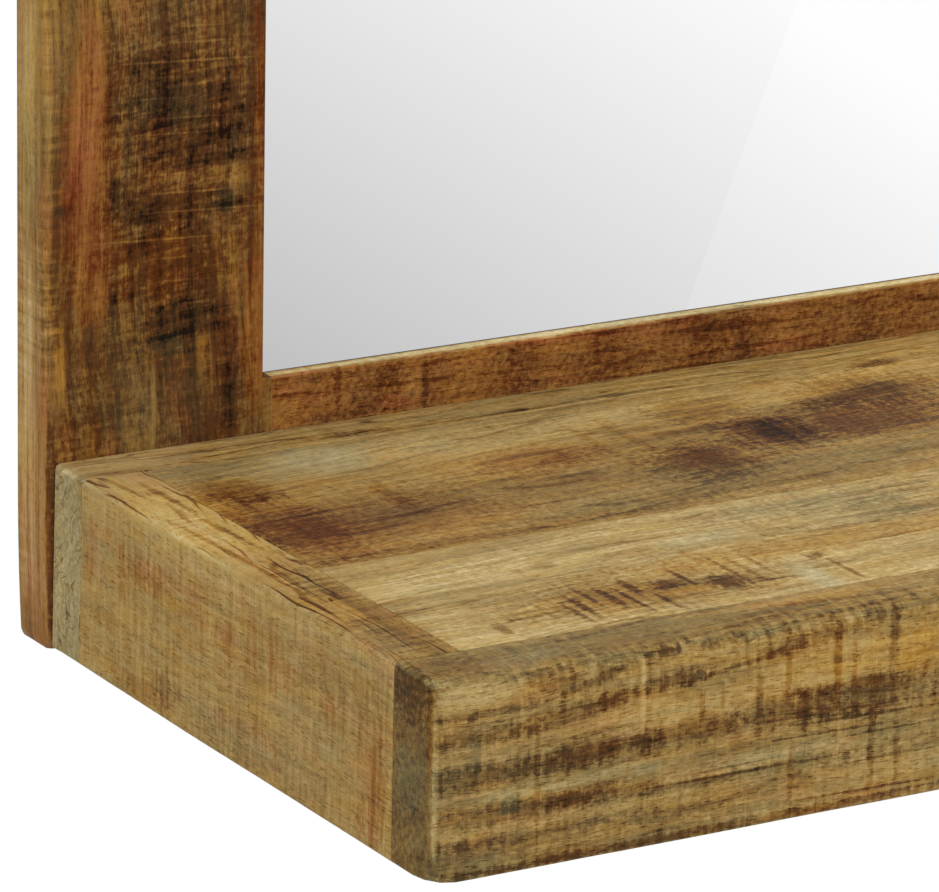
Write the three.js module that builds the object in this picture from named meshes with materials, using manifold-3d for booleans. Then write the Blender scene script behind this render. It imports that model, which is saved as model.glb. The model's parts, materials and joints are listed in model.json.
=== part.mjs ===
// Wall mirror with a deep shelf, in solid hand-finished mango wood.
//
// Millimetres, +Z up. The wall is the plane y = 0 and the front looks along -Y. The origin lies on
// that plane, midway between the two hanger rings, at the height of the bars that they swing on.
//
// Four boards make the frame: two full-height stiles with two rails butted and dowelled between
// them. The mirror lies in a recess routed from the back, with a hardboard panel screwed in behind
// it. The shelf is a box without a floor: a front and a back board with two end boards butted
// between them, and two planks let in flush with their top edges. Frame and shelf are each sanded
// round after they are glued up, so each is cut out of one softened block.

import * as THREE from 'three';
import { mergeVertices } from 'three/addons/utils/BufferGeometryUtils.js';
import Module from 'manifold-3d';

const wasm = await Module();
wasm.setup();

// ---- Driving sizes -------------------------------------------------------------------------

// Frame
const frameWidth = 500;
const frameHeight = 802;
const frameThickness = 16;
const stileWidth = 62.5;
const railWidth = 63;
const openingTrim = 2.5; // planed off the stiles between the rails, once the frame is glued
const hangerDrop = 99; // from the frame's top edge down to the hanger bars
const frameEdgeRadius = 1.6;
const openingEdgeRadius = 1.2;
const cornerRunAcross = 3.5; // the frame's outer corners fall away over this width
const cornerRunUp = 30; // and over this height
const cornerFullness = 0.5; // the curve's handles, as shares of those two runs
const cornerHook = 0.25;

// Mirror and its backing
const lipThickness = 4.5; // wood left in front of the mirror
const glassThickness = 4;
const glassCover = 6; // how far the glass reaches behind the wood
const glassArris = 0.5;
const backingThickness = 3;
const backingCover = 14;
const panelPlay = 1; // around the glass and the backing, in their recesses

// Shelf
const shelfDepth = 184; // in front of the frame
const shelfHeight = 48;
const shelfInset = 2; // from the frame's side edges
const shelfRise = 1.5; // above the frame's bottom edge
const frontBoardThickness = 18;
const backBoardThickness = 15;
const endBoardThickness = 17;
const plankThickness = 16;
const rearPlankWidth = 85;
const shelfTopRadius = 2.6; // along the front's upper edge, on average
const shelfEdgeRadius = 1.4; // along the ends and the front's lower edge
const shelfBackRadius = 1; // along the edges that meet the frame
const edgeWave = 1.5; // how much the upper edge's radius rises and falls by hand sanding
const edgeWaveLength = 52;
const edgeDriftLength = 171; // a longer wave under the first
const edgeWaveStart = 0.9; // where the waves start, as an angle
const cleatWidth = 18;
const cleatHeight = 16;

// Dowels, by length and radius
const frameDowelLength = 40;
const frameDowelRadius = 4;
const frameDowelFirst = 14; // from the frame's outer edge to the first dowel of a joint
const frameDowelPitch = 22;
const shelfDowelLength = 32;
const shelfDowelRadius = 3;
const shelfDowelPitch = 22;
const shelfDowelCover = 5; // wood left over the dowels' ends in the front and back boards
const dowelChamfer = 0.8;

// Screws
const backingScrew = { length: 9, shankRadius: 1.4, headRadius: 2.7, rim: 0.3, point: 2 };
const hangerScrew = { length: 13, shankRadius: 1.6, headRadius: 3, rim: 0.3, point: 2.5 };
const shelfScrew = { length: 27, shankRadius: 2, headRadius: 4, rim: 0.4, point: 3.5 };
const cleatScrew = { length: 28, shankRadius: 1.8, headRadius: 3.5, rim: 0.4, point: 3 };
const backingScrewsPerStile = 3;
const backingScrewsPerRail = 2;
const shelfScrewRise = 24; // above the shelf's underside
const shelfScrewInner = 110; // from the middle to the inner pair

// Hangers: a steel strip folded round the bar of a wire ring
const strapWidth = 12;
const strapLength = 42; // below the bar
const sheetThickness = 0.8; // the strip lies double behind the screws
const wireRadius = 1.3;
const loopPlay = 0.2; // around the bar in the fold
const ringPlay = 0.4; // between the hanging ring and the strap
const ringSidePlay = 1; // between the ring's legs and the strap's edges
const ringLegs = 9; // straight part of the ring below its corners
const ringCornerRadius = 2.2;
const ringSeam = 0.4; // where the wire's two ends meet, inside the fold
const foldRun = 6; // over which the fold comes down to the double strip
const hangerScrewFirst = 23; // below the bar
const hangerScrewPitch = 12;

// Fits
const glueGap = 0.2; // glue line between neighbouring boards
const fitGap = 0.25; // round dowels and screws
const holeOverrun = 1; // how far a cutting tool stands out of the surface it opens

// Facets
const arcSteps = 4; // per quarter of a softened edge
const roundSides = 12; // on dowels and screws
const wireSides = 8;
const ringSteps = 36;
const stationPitch = 9; // between the shelf block's sections

// ---- Places that follow from them ----------------------------------------------------------

const halfWidth = frameWidth / 2;
const frameTop = hangerDrop;
const frameBottom = hangerDrop - frameHeight;
const frameFront = -frameThickness;
const stileInner = halfWidth - stileWidth;
const openingHalf = stileInner + openingTrim;
const openingTop = frameTop - railWidth;
const openingBottom = frameBottom + railWidth;
const openingMiddle = (openingTop + openingBottom) / 2;
const openingHeight = openingTop - openingBottom;
const glassFace = frameFront + lipThickness;
const glassBack = glassFace + glassThickness;
const backingBack = glassBack + backingThickness;

const shelfHalf = halfWidth - shelfInset;
const shelfBottom = frameBottom + shelfRise;
const shelfTop = shelfBottom + shelfHeight;
const shelfBack = frameFront - glueGap;
const shelfFront = frameFront - shelfDepth;
const frontJoint = shelfFront + frontBoardThickness;
const backJoint = shelfBack - backBoardThickness;
const plankJoint = backJoint - rearPlankWidth;
const endJoint = shelfHalf - endBoardThickness;
const plankUnderside = shelfTop - plankThickness;

const strapThickness = 2 * sheetThickness;
const foldRadius = wireRadius + loopPlay + sheetThickness;
const barOffset = strapThickness + ringPlay + wireRadius; // bar's centre line behind the wood
const hangerX = (halfWidth + openingHalf + backingCover) / 2;
const shelfScrewOuter = (halfWidth + stileInner + frameDowelLength / 2) / 2; // clear of the dowels

// ---- Materials -----------------------------------------------------------------------------

const wood = (color) => new THREE.MeshStandardMaterial({ color, roughness: 0.5, metalness: 0 });
const steel = () => new THREE.MeshStandardMaterial({ color: 0xb9b6ac, roughness: 0.35, metalness: 1 });

const brownStile = 0x87603a;
const rustRail = 0x97603a;
const tanBoard = 0xb08a58;
const goldEnd = 0xa9834c;
const stainedPlank = 0x8f7552;
const palePlank = 0xc3a878;
const rawWood = 0xc9a878;
const hardboard = 0x6f4d31;

// ---- Solids --------------------------------------------------------------------------------

/** The closed solid of a geometry whose faces point out. */
function toSolid(geometry) {
  const bare = geometry.clone();
  bare.deleteAttribute('normal');
  bare.deleteAttribute('uv');
  const merged = mergeVertices(bare, 1e-4);
  return new wasm.Manifold(new wasm.Mesh({
    numProp: 3,
    vertProperties: new Float32Array(merged.attributes.position.array),
    triVerts: new Uint32Array(merged.index.array),
  }));
}

/** The geometry of a solid, with flat-shaded faces. */
function toGeometry(solid) {
  const { vertProperties, triVerts } = solid.getMesh();
  const geometry = new THREE.BufferGeometry();
  geometry.setAttribute('position', new THREE.BufferAttribute(new Float32Array(vertProperties), 3));
  geometry.setIndex(new THREE.BufferAttribute(new Uint32Array(triVerts), 1));
  const faceted = geometry.toNonIndexed();
  faceted.computeVertexNormals();
  return faceted;
}

/** A box between two corners. */
function boxGeometry(low, high) {
  const size = high.map((value, axis) => value - low[axis]);
  const middle = high.map((value, axis) => (value + low[axis]) / 2);
  return new THREE.BoxGeometry(...size).translate(...middle);
}

/** A flat shape pushed through a depth; across, up and through name the axes it lands on. */
function prism(shape, depth, across, up, through, options = {}) {
  const geometry = new THREE.ExtrudeGeometry(shape, { depth, bevelEnabled: false, ...options });
  const axes = [across, up, through].map((axis) => new THREE.Vector3(...axis));
  return geometry.applyMatrix4(new THREE.Matrix4().makeBasis(...axes));
}

/** A closed skin over rings of equally many points, capped at both ends. */
function loft(rings) {
  const around = rings[0].length;
  const last = (rings.length - 1) * around;
  const index = [];
  for (let ring = 0; ring < rings.length - 1; ring += 1) {
    for (let step = 0; step < around; step += 1) {
      const here = ring * around + step;
      const next = ring * around + ((step + 1) % around);
      index.push(here, next, here + around, next, next + around, here + around);
    }
  }
  for (let step = 1; step < around - 1; step += 1) {
    index.push(0, step + 1, step);
    index.push(last, last + step, last + step + 1);
  }
  const geometry = new THREE.BufferGeometry();
  geometry.setAttribute('position', new THREE.Float32BufferAttribute(rings.flat(2), 3));
  geometry.setIndex(index);
  return geometry;
}

/**
 * One cross-section of a softened block, at x: a rectangle in y and z, drawn in all round by
 * inset, whose corners have the radii given from the lower back corner on, by way of the top.
 */
function softSection(x, [lowY, highY], [lowZ, highZ], radii, inset) {
  const corners = [
    [highY, lowZ, -1, 1],
    [highY, highZ, -1, -1],
    [lowY, highZ, 1, -1],
    [lowY, lowZ, 1, 1],
  ];
  return corners.flatMap(([cornerY, cornerZ, inY, inZ], corner) => {
    const radius = Math.max(radii[corner] - inset, 0.1);
    const centreY = cornerY + inY * (inset + radius);
    const centreZ = cornerZ + inZ * (inset + radius);
    const start = (corner - 1) * (Math.PI / 2);
    return Array.from({ length: arcSteps + 1 }, (_, step) => {
      const angle = start + (step / arcSteps) * (Math.PI / 2);
      return [x, centreY + radius * Math.cos(angle), centreZ + radius * Math.sin(angle)];
    });
  });
}

/** The solid of a profile of [radius, height] points turned about an axis that points to `towards`. */
function turned(profile, at, towards) {
  const points = profile.map(([radius, height]) => new THREE.Vector2(radius, height));
  const spin = new THREE.Quaternion().setFromUnitVectors(new THREE.Vector3(0, 1, 0), towards);
  const geometry = new THREE.LatheGeometry(points, roundSides).applyQuaternion(spin);
  return geometry.translate(...at);
}

// ---- Pieces --------------------------------------------------------------------------------

const mirrorWithShelf = new THREE.Group();

/** Adds a named piece to a group; the geometry is given about the point `at`. */
function addPiece(group, name, geometry, material, at = [0, 0, 0]) {
  const mesh = new THREE.Mesh(geometry, material);
  mesh.name = name;
  mesh.position.set(...at);
  group.add(mesh);
}

/** A dowel's profile, grown all round by a gap. */
function dowelProfile(length, radius, gap = 0) {
  const half = length / 2 + gap;
  return [
    [0, -half],
    [radius + gap - dowelChamfer, -half],
    [radius + gap, dowelChamfer - half],
    [radius + gap, half - dowelChamfer],
    [radius + gap - dowelChamfer, half],
    [0, half],
  ];
}

/** A countersunk screw's profile, its head's face at height 0 and its point below. */
function screwProfile({ length, shankRadius, headRadius, rim, point }) {
  const neck = -rim - (headRadius - shankRadius);
  return [
    [0, -length],
    [shankRadius, point - length],
    [shankRadius, neck],
    [headRadius, -rim],
    [headRadius, 0],
    [0, 0],
  ];
}

/** The hole for that screw: grown all round by the fit and open above the head. */
function screwHoleProfile({ length, shankRadius, headRadius, rim, point }) {
  const neck = -rim - (headRadius - shankRadius);
  return [
    [0, -length - 2 * fitGap],
    [shankRadius + fitGap, point - length - fitGap],
    [shankRadius + fitGap, neck - fitGap],
    [headRadius + fitGap, -rim - fitGap],
    [headRadius + fitGap, holeOverrun],
    [0, holeOverrun],
  ];
}

const alongX = new THREE.Vector3(1, 0, 0);
const alongY = new THREE.Vector3(0, 1, 0);
const downwards = new THREE.Vector3(0, 0, -1);

/** The holes that dowels and screws need, cut out of every board that they pass through. */
const holes = [];

function addDowel(group, name, at, towards, length, radius) {
  const geometry = turned(dowelProfile(length, radius), [0, 0, 0], towards);
  addPiece(group, name, geometry, wood(rawWood), at);
  holes.push(toSolid(turned(dowelProfile(length, radius, fitGap), at, towards)));
}

/** A screw whose head faces `outwards`. */
function addScrew(group, name, at, outwards, screw) {
  addPiece(group, name, turned(screwProfile(screw), [0, 0, 0], outwards), steel(), at);
  holes.push(toSolid(turned(screwHoleProfile(screw), at, outwards)));
}

/** A board: what a softened block has between two corners, less the cuts. */
function addBoard(group, name, block, low, high, color, cuts = []) {
  const middle = low.map((value, axis) => (value + high[axis]) / 2);
  let board = block.intersect(toSolid(boxGeometry(low, high)));
  for (const cut of [...cuts, ...holes]) {
    board = board.subtract(cut);
  }
  const geometry = toGeometry(board).translate(...middle.map((value) => -value));
  addPiece(group, name, geometry, wood(color), middle);
}

// ---- Frame ---------------------------------------------------------------------------------

/** The frame's outline from the front: a rectangle whose corners fall away by hand sanding. */
function frameOutline() {
  const shape = new THREE.Shape();
  const quarters = [
    [1, 1],
    [-1, 1],
    [-1, -1],
    [1, -1],
  ];
  const middle = (frameTop + frameBottom) / 2;
  const halfHeight = frameHeight / 2;
  const flank = [[0, cornerRunUp], [0, cornerRunUp * cornerFullness]];
  const brow = [[cornerRunAcross * cornerHook, 0], [cornerRunAcross, 0]];
  for (const [side, end] of quarters) {
    const run = [...flank, ...brow].map(([inset, drop]) => (
      [side * (halfWidth - inset), middle + end * (halfHeight - drop)]
    ));
    if (side !== end) {
      run.reverse();
    }
    if (shape.curves.length === 0) {
      shape.moveTo(...run[0]);
    } else {
      shape.lineTo(...run[0]);
    }
    shape.bezierCurveTo(...run[1], ...run[2], ...run[3]);
  }
  shape.closePath();
  return shape;
}

/** The whole frame as one slab with softened front and back edges. */
function frameBlock() {
  const bevel = {
    bevelEnabled: true,
    bevelThickness: frameEdgeRadius,
    bevelSize: frameEdgeRadius,
    bevelOffset: -frameEdgeRadius,
    bevelSegments: 3,
    curveSegments: 8,
  };
  const flat = frameThickness - 2 * frameEdgeRadius;
  const slab = prism(frameOutline(), flat, [1, 0, 0], [0, 0, 1], [0, -1, 0], bevel);
  return toSolid(slab.translate(0, -frameEdgeRadius, 0));
}

/** The opening as a cutting tool: straight through, and flared to soften the front edge. */
function openingTool() {
  const ring = (y, grow) => {
    const x = openingHalf + grow;
    const z = openingHeight / 2 + grow;
    return [[x, -z], [x, z], [-x, z], [-x, -z]].map(([across, up]) => [across, y, openingMiddle + up]);
  };
  const rings = [ring(holeOverrun, 0)];
  for (let step = 0; step <= arcSteps; step += 1) {
    const angle = (step / arcSteps) * (Math.PI / 2);
    const rise = openingEdgeRadius * (1 - Math.sin(angle));
    rings.push(ring(frameFront + rise, openingEdgeRadius * (1 - Math.cos(angle))));
  }
  rings.push(ring(frameFront - holeOverrun, openingEdgeRadius));
  return toSolid(loft(rings));
}

/** A recess from the back around the opening, as deep as `floor`. */
function recessTool(cover, floor) {
  const low = [-openingHalf - cover, floor, openingBottom - cover];
  const high = [openingHalf + cover, holeOverrun, openingTop + cover];
  return toSolid(boxGeometry(low, high));
}

const frame = new THREE.Group();
mirrorWithShelf.add(frame);

const ends = [['bottom', frameBottom, 1], ['top', frameTop, -1]];
const sides = [['left', -1], ['right', 1]];

for (const [endName, edge, inwards] of ends) {
  for (const [sideName, side] of sides) {
    for (const row of [0, 1]) {
      const height = edge + inwards * (frameDowelFirst + row * frameDowelPitch);
      const at = [side * stileInner, frameFront / 2, height];
      const name = `frame_dowel_${endName}_${sideName}_${row + 1}`;
      addDowel(frame, name, at, alongX, frameDowelLength, frameDowelRadius);
    }
  }
}

// The backing's screws run along the middle of the step that it lies on.
const screwLine = (glassCover + backingCover) / 2;
for (const [sideName, side] of sides) {
  for (let count = 0; count < backingScrewsPerStile; count += 1) {
    const share = (count + 0.5) / backingScrewsPerStile;
    const at = [side * (openingHalf + screwLine), backingBack, openingBottom + share * openingHeight];
    addScrew(frame, `backing_screw_${sideName}_${count + 1}`, at, alongY, backingScrew);
  }
}
for (const [endName, edge, inwards] of ends) {
  const height = edge + inwards * (railWidth - screwLine);
  for (let count = 0; count < backingScrewsPerRail; count += 1) {
    const share = (count + 0.5) / backingScrewsPerRail;
    const at = [(2 * share - 1) * openingHalf, backingBack, height];
    addScrew(frame, `backing_screw_${endName}_${count + 1}`, at, alongY, backingScrew);
  }
}

// The shelf is screwed on from behind, through the frame into its back board.
const shelf = new THREE.Group();
mirrorWithShelf.add(shelf);
for (const [place, x] of [['outer', shelfScrewOuter], ['inner', shelfScrewInner]]) {
  for (const [sideName, side] of sides) {
    const at = [side * x, 0, shelfBottom + shelfScrewRise];
    addScrew(shelf, `shelf_screw_${sideName}_${place}`, at, alongY, shelfScrew);
  }
}

// ---- Hangers -------------------------------------------------------------------------------

/** A plane path lifted into the plane of x and z. */
class UprightCurve extends THREE.Curve {
  constructor(path) {
    super();
    this.path = path;
  }

  getPoint(t, target = new THREE.Vector3()) {
    const point = this.path.getPointAt(t);
    return target.set(point.x, 0, point.y);
  }
}

/** The ring's wire, bent to a D with its straight bar on the x axis and hanging below it. */
function ringGeometry() {
  const half = strapWidth / 2 + ringSidePlay + wireRadius;
  const corner = ringCornerRadius;
  const path = new THREE.Path();
  path.moveTo(ringSeam / 2, 0);
  path.lineTo(half - corner, 0);
  path.absarc(half - corner, -corner, corner, Math.PI / 2, 0, true);
  path.lineTo(half, -corner - ringLegs);
  path.absarc(0, -corner - ringLegs, half, 0, -Math.PI, true);
  path.lineTo(-half, -corner);
  path.absarc(corner - half, -corner, corner, Math.PI, Math.PI / 2, true);
  path.lineTo(-ringSeam / 2, 0);
  const wire = new THREE.Shape();
  wire.absarc(0, 0, wireRadius, 0, 2 * Math.PI);
  return new THREE.ExtrudeGeometry(wire, {
    steps: ringSteps,
    curveSegments: wireSides / 2,
    extrudePath: new UprightCurve(path),
  });
}

/** The folded strip seen from the side: across is y, up is z, and the bar runs through its eye. */
function strapOutline() {
  const shape = new THREE.Shape();
  shape.moveTo(0, -strapLength);
  shape.lineTo(strapThickness, -strapLength);
  shape.lineTo(strapThickness, -foldRun);
  shape.quadraticCurveTo(barOffset + foldRadius, -foldRun / 2, barOffset + foldRadius, 0);
  shape.absarc(barOffset, 0, foldRadius, 0, Math.PI, false);
  shape.quadraticCurveTo(barOffset - foldRadius, -foldRun / 2, 0, -foldRun);
  shape.closePath();
  const eye = new THREE.Path();
  eye.absarc(barOffset, 0, wireRadius + loopPlay, 0, 2 * Math.PI, true);
  shape.holes.push(eye);
  return shape;
}

/** The strap's outline from behind: square at the fold, round at the lower end. */
function strapPlan() {
  const half = strapWidth / 2;
  const shape = new THREE.Shape();
  shape.moveTo(half, foldRadius + holeOverrun);
  shape.lineTo(-half, foldRadius + holeOverrun);
  shape.lineTo(-half, half - strapLength);
  shape.absarc(0, half - strapLength, half, Math.PI, 2 * Math.PI, false);
  shape.closePath();
  return shape;
}

function strapGeometry(screwHoles) {
  const options = { curveSegments: 8 };
  const strip = prism(strapOutline(), strapWidth, [0, 1, 0], [0, 0, 1], [1, 0, 0], options);
  const reach = barOffset + foldRadius + holeOverrun;
  const plan = prism(strapPlan(), reach, [1, 0, 0], [0, 0, 1], [0, -1, 0], options);
  let strap = toSolid(strip.translate(-strapWidth / 2, 0, 0));
  strap = strap.intersect(toSolid(plan.translate(0, reach, 0)));
  for (const hole of screwHoles) {
    strap = strap.subtract(hole);
  }
  return toGeometry(strap);
}

for (const [sideName, side] of sides) {
  const hanger = new THREE.Group();
  hanger.position.set(side * hangerX, 0, 0);
  mirrorWithShelf.add(hanger);

  const strapHoles = [];
  for (const row of [0, 1]) {
    const drop = hangerScrewFirst + row * hangerScrewPitch;
    const local = [0, strapThickness, -drop];
    const profile = screwHoleProfile(hangerScrew);
    const geometry = turned(screwProfile(hangerScrew), [0, 0, 0], alongY);
    addPiece(hanger, `hanger_screw_${sideName}_${row + 1}`, geometry, steel(), local);
    strapHoles.push(toSolid(turned(profile, local, alongY)));
    holes.push(toSolid(turned(profile, [side * hangerX, strapThickness, -drop], alongY)));
  }
  addPiece(hanger, `hanger_strap_${sideName}`, strapGeometry(strapHoles), steel());
  addPiece(hanger, `hanger_ring_${sideName}`, ringGeometry(), steel(), [0, barOffset, 0]);
}

// ---- Frame boards, mirror and backing ------------------------------------------------------

const frameSlab = frameBlock();
const frameCuts = [
  openingTool(),
  recessTool(glassCover, glassFace),
  recessTool(backingCover, glassBack),
];

for (const [sideName, side] of sides) {
  const across = [side * stileInner, side * (halfWidth + holeOverrun)].sort((a, b) => a - b);
  const low = [across[0], frameFront - holeOverrun, frameBottom - holeOverrun];
  const high = [across[1], holeOverrun, frameTop + holeOverrun];
  addBoard(frame, `${sideName}_stile`, frameSlab, low, high, brownStile, frameCuts);
}
for (const [endName, edge, inwards] of ends) {
  const up = [edge - inwards * holeOverrun, edge + inwards * (railWidth + holeOverrun)];
  up.sort((a, b) => a - b);
  const low = [glueGap - stileInner, frameFront - holeOverrun, up[0]];
  const high = [stileInner - glueGap, holeOverrun, up[1]];
  addBoard(frame, `${endName}_rail`, frameSlab, low, high, rustRail, frameCuts);
}

/** A sheet behind the opening, centred on it, with its edges taken off by an arris. */
function sheetGeometry(cover, thickness, arris) {
  const halfX = openingHalf + cover - panelPlay;
  const halfZ = openingHeight / 2 + cover - panelPlay;
  const ring = (y, inset) => {
    const x = halfX - inset;
    const z = halfZ - inset;
    return [[x, y, -z], [x, y, z], [-x, y, z], [-x, y, -z]];
  };
  const rings = [ring(thickness / 2, arris), ring(thickness / 2 - arris, 0)];
  rings.push(ring(arris - thickness / 2, 0), ring(-thickness / 2, arris));
  return loft(rings);
}

const mirrorSilver = new THREE.MeshStandardMaterial({ color: 0xe4e6e8, roughness: 0.02, metalness: 1 });
const glassAt = [0, (glassFace + glassBack) / 2, openingMiddle];
addPiece(frame, 'mirror_glass', sheetGeometry(glassCover, glassThickness, glassArris), mirrorSilver, glassAt);

const backingAt = [0, (glassBack + backingBack) / 2, openingMiddle];
let backing = toSolid(sheetGeometry(backingCover, backingThickness, 0.2).translate(...backingAt));
for (const hole of holes) {
  backing = backing.subtract(hole);
}
const backingGeometry = toGeometry(backing).translate(...backingAt.map((value) => -value));
addPiece(frame, 'backing_board', backingGeometry, wood(hardboard), backingAt);

// ---- Shelf ---------------------------------------------------------------------------------

/** How far sanding has moved the upper edge's radius from its mean, at x. */
function handWave(x) {
  const short = Math.sin((2 * Math.PI * x) / edgeWaveLength + edgeWaveStart);
  const long = Math.sin((2 * Math.PI * x) / edgeDriftLength + 2 * edgeWaveStart);
  return edgeWave * (0.65 * short + 0.35 * long);
}

/**
 * The whole shelf as one block, softened all round. The upper front edge's radius follows the hand
 * wave, as much as `wave` says, over as many sections as `stations`.
 */
function shelfBlock(stations, wave) {
  const radius = shelfEdgeRadius;
  const section = (x, inset) => {
    const top = shelfTopRadius + wave * handWave(x);
    const radii = [shelfBackRadius, shelfBackRadius, top, shelfEdgeRadius];
    return softSection(x, [shelfFront, shelfBack], [shelfBottom, shelfTop], radii, inset);
  };
  const angles = Array.from({ length: arcSteps }, (_, step) => (step / arcSteps) * (Math.PI / 2));
  const rings = [];
  for (const angle of angles) {
    rings.push(section(-shelfHalf + radius * (1 - Math.cos(angle)), radius * (1 - Math.sin(angle))));
  }
  const straight = 2 * (shelfHalf - radius);
  for (let station = 0; station <= stations; station += 1) {
    rings.push(section(-straight / 2 + (station / stations) * straight, 0));
  }
  for (const angle of angles.reverse()) {
    rings.push(section(shelfHalf - radius * (1 - Math.cos(angle)), radius * (1 - Math.sin(angle))));
  }
  return toSolid(loft(rings));
}

const dowelRise = (shelfHeight - shelfDowelPitch) / 2;
const shelfJoints = [
  ['front', frontJoint, frontBoardThickness, 1],
  ['back', backJoint, backBoardThickness, -1],
];
for (const [sideName, side] of sides) {
  for (const [place, joint, thickness, inwards] of shelfJoints) {
    const offset = shelfDowelLength / 2 - (thickness - shelfDowelCover);
    for (const row of [0, 1]) {
      const height = shelfBottom + dowelRise + row * shelfDowelPitch;
      const at = [side * (endJoint + endBoardThickness / 2), joint + inwards * offset, height];
      const name = `shelf_dowel_${place}_${sideName}_${row + 1}`;
      addDowel(shelf, name, at, alongY, shelfDowelLength, shelfDowelRadius);
    }
  }
}

const cleatBack = backJoint - glueGap;
const cleatFront = frontJoint + glueGap;
const cleatTop = plankUnderside - glueGap;
const rearPlankMiddle = (backJoint + plankJoint) / 2;
const frontPlankMiddle = (plankJoint + frontJoint) / 2;
const cleatOuter = endJoint - glueGap;
const cleatMiddle = cleatOuter - cleatWidth / 2;
for (const [sideName, side] of sides) {
  for (const [place, y] of [['rear', rearPlankMiddle], ['front', frontPlankMiddle]]) {
    const at = [side * cleatMiddle, y, cleatTop - cleatHeight];
    addScrew(shelf, `cleat_screw_${sideName}_${place}`, at, downwards, cleatScrew);
  }
}

const wavedBlock = shelfBlock(Math.round((2 * shelfHalf) / stationPitch), 1);
const plainBlock = shelfBlock(1, 0);
const glueHalf = glueGap / 2;
const sideReach = shelfHalf + holeOverrun; // a little past the block on each side
const below = shelfBottom - holeOverrun;
const above = shelfTop + holeOverrun;
const plankHalf = endJoint - glueHalf;

/** A board of the shelf that runs from one side to the other. */
function addLongBoard(name, block, reach, front, back, low, color) {
  addBoard(shelf, name, block, [-reach, front, low], [reach, back, above], color);
}

addLongBoard('shelf_front_board', wavedBlock, sideReach,
  shelfFront - holeOverrun, frontJoint - glueHalf, below, tanBoard);
addLongBoard('shelf_back_board', plainBlock, sideReach,
  backJoint + glueHalf, shelfBack + holeOverrun, below, tanBoard);
addLongBoard('shelf_rear_plank', plainBlock, plankHalf,
  plankJoint + glueHalf, backJoint - glueHalf, plankUnderside, stainedPlank);
addLongBoard('shelf_front_plank', plainBlock, plankHalf,
  frontJoint + glueHalf, plankJoint - glueHalf, plankUnderside, palePlank);
for (const [sideName, side] of sides) {
  const across = [side * (endJoint + glueHalf), side * sideReach].sort((a, b) => a - b);
  const low = [across[0], frontJoint + glueHalf, below];
  const high = [across[1], backJoint - glueHalf, above];
  addBoard(shelf, `shelf_${sideName}_end`, plainBlock, low, high, goldEnd);
}
for (const [sideName, side] of sides) {
  const across = [side * (cleatOuter - cleatWidth), side * cleatOuter].sort((a, b) => a - b);
  const low = [across[0], cleatFront, cleatTop - cleatHeight];
  addBoard(shelf, `shelf_cleat_${sideName}`, plainBlock, low, [across[1], cleatBack, cleatTop], rawWood);
}

export default mirrorWithShelf;
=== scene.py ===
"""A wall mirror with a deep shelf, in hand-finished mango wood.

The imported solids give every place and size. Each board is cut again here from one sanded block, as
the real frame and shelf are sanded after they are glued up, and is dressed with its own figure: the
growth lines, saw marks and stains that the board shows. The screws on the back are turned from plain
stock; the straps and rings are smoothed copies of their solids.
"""

from __future__ import annotations

import json
import logging
import math
from collections.abc import Callable, Sequence
from dataclasses import dataclass, field
from enum import Enum
from itertools import product

import bpy
from mathutils import Euler, Matrix, Vector, noise

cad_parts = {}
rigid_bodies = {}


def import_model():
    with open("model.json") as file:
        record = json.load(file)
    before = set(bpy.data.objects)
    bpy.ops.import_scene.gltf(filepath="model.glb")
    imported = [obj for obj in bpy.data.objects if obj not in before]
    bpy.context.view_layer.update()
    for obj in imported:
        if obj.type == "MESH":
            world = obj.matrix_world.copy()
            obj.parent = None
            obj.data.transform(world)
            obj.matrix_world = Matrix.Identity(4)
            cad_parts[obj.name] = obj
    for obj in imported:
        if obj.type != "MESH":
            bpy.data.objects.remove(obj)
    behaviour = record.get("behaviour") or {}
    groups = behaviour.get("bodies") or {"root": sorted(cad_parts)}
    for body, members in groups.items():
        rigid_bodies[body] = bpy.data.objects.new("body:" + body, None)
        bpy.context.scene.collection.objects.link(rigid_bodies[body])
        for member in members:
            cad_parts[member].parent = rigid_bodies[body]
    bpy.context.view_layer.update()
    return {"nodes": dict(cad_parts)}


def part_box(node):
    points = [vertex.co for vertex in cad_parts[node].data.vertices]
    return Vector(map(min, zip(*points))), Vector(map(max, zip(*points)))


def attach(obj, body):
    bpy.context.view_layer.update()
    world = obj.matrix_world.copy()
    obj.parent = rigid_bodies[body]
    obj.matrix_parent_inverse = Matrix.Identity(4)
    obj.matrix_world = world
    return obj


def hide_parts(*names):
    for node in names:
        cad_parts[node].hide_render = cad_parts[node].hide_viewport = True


MM = 0.001
LOG = logging.getLogger("mirror_with_shelf")
NOISE_MEAN = 0.5

Colour = tuple[float, float, float]
Triple = tuple[float, float, float]


class Axis(Enum):
    """The row frame's three directions."""

    X = 0
    Y = 1
    Z = 2


# ---- Shader graphs ------------------------------------------------------------------------------


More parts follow.
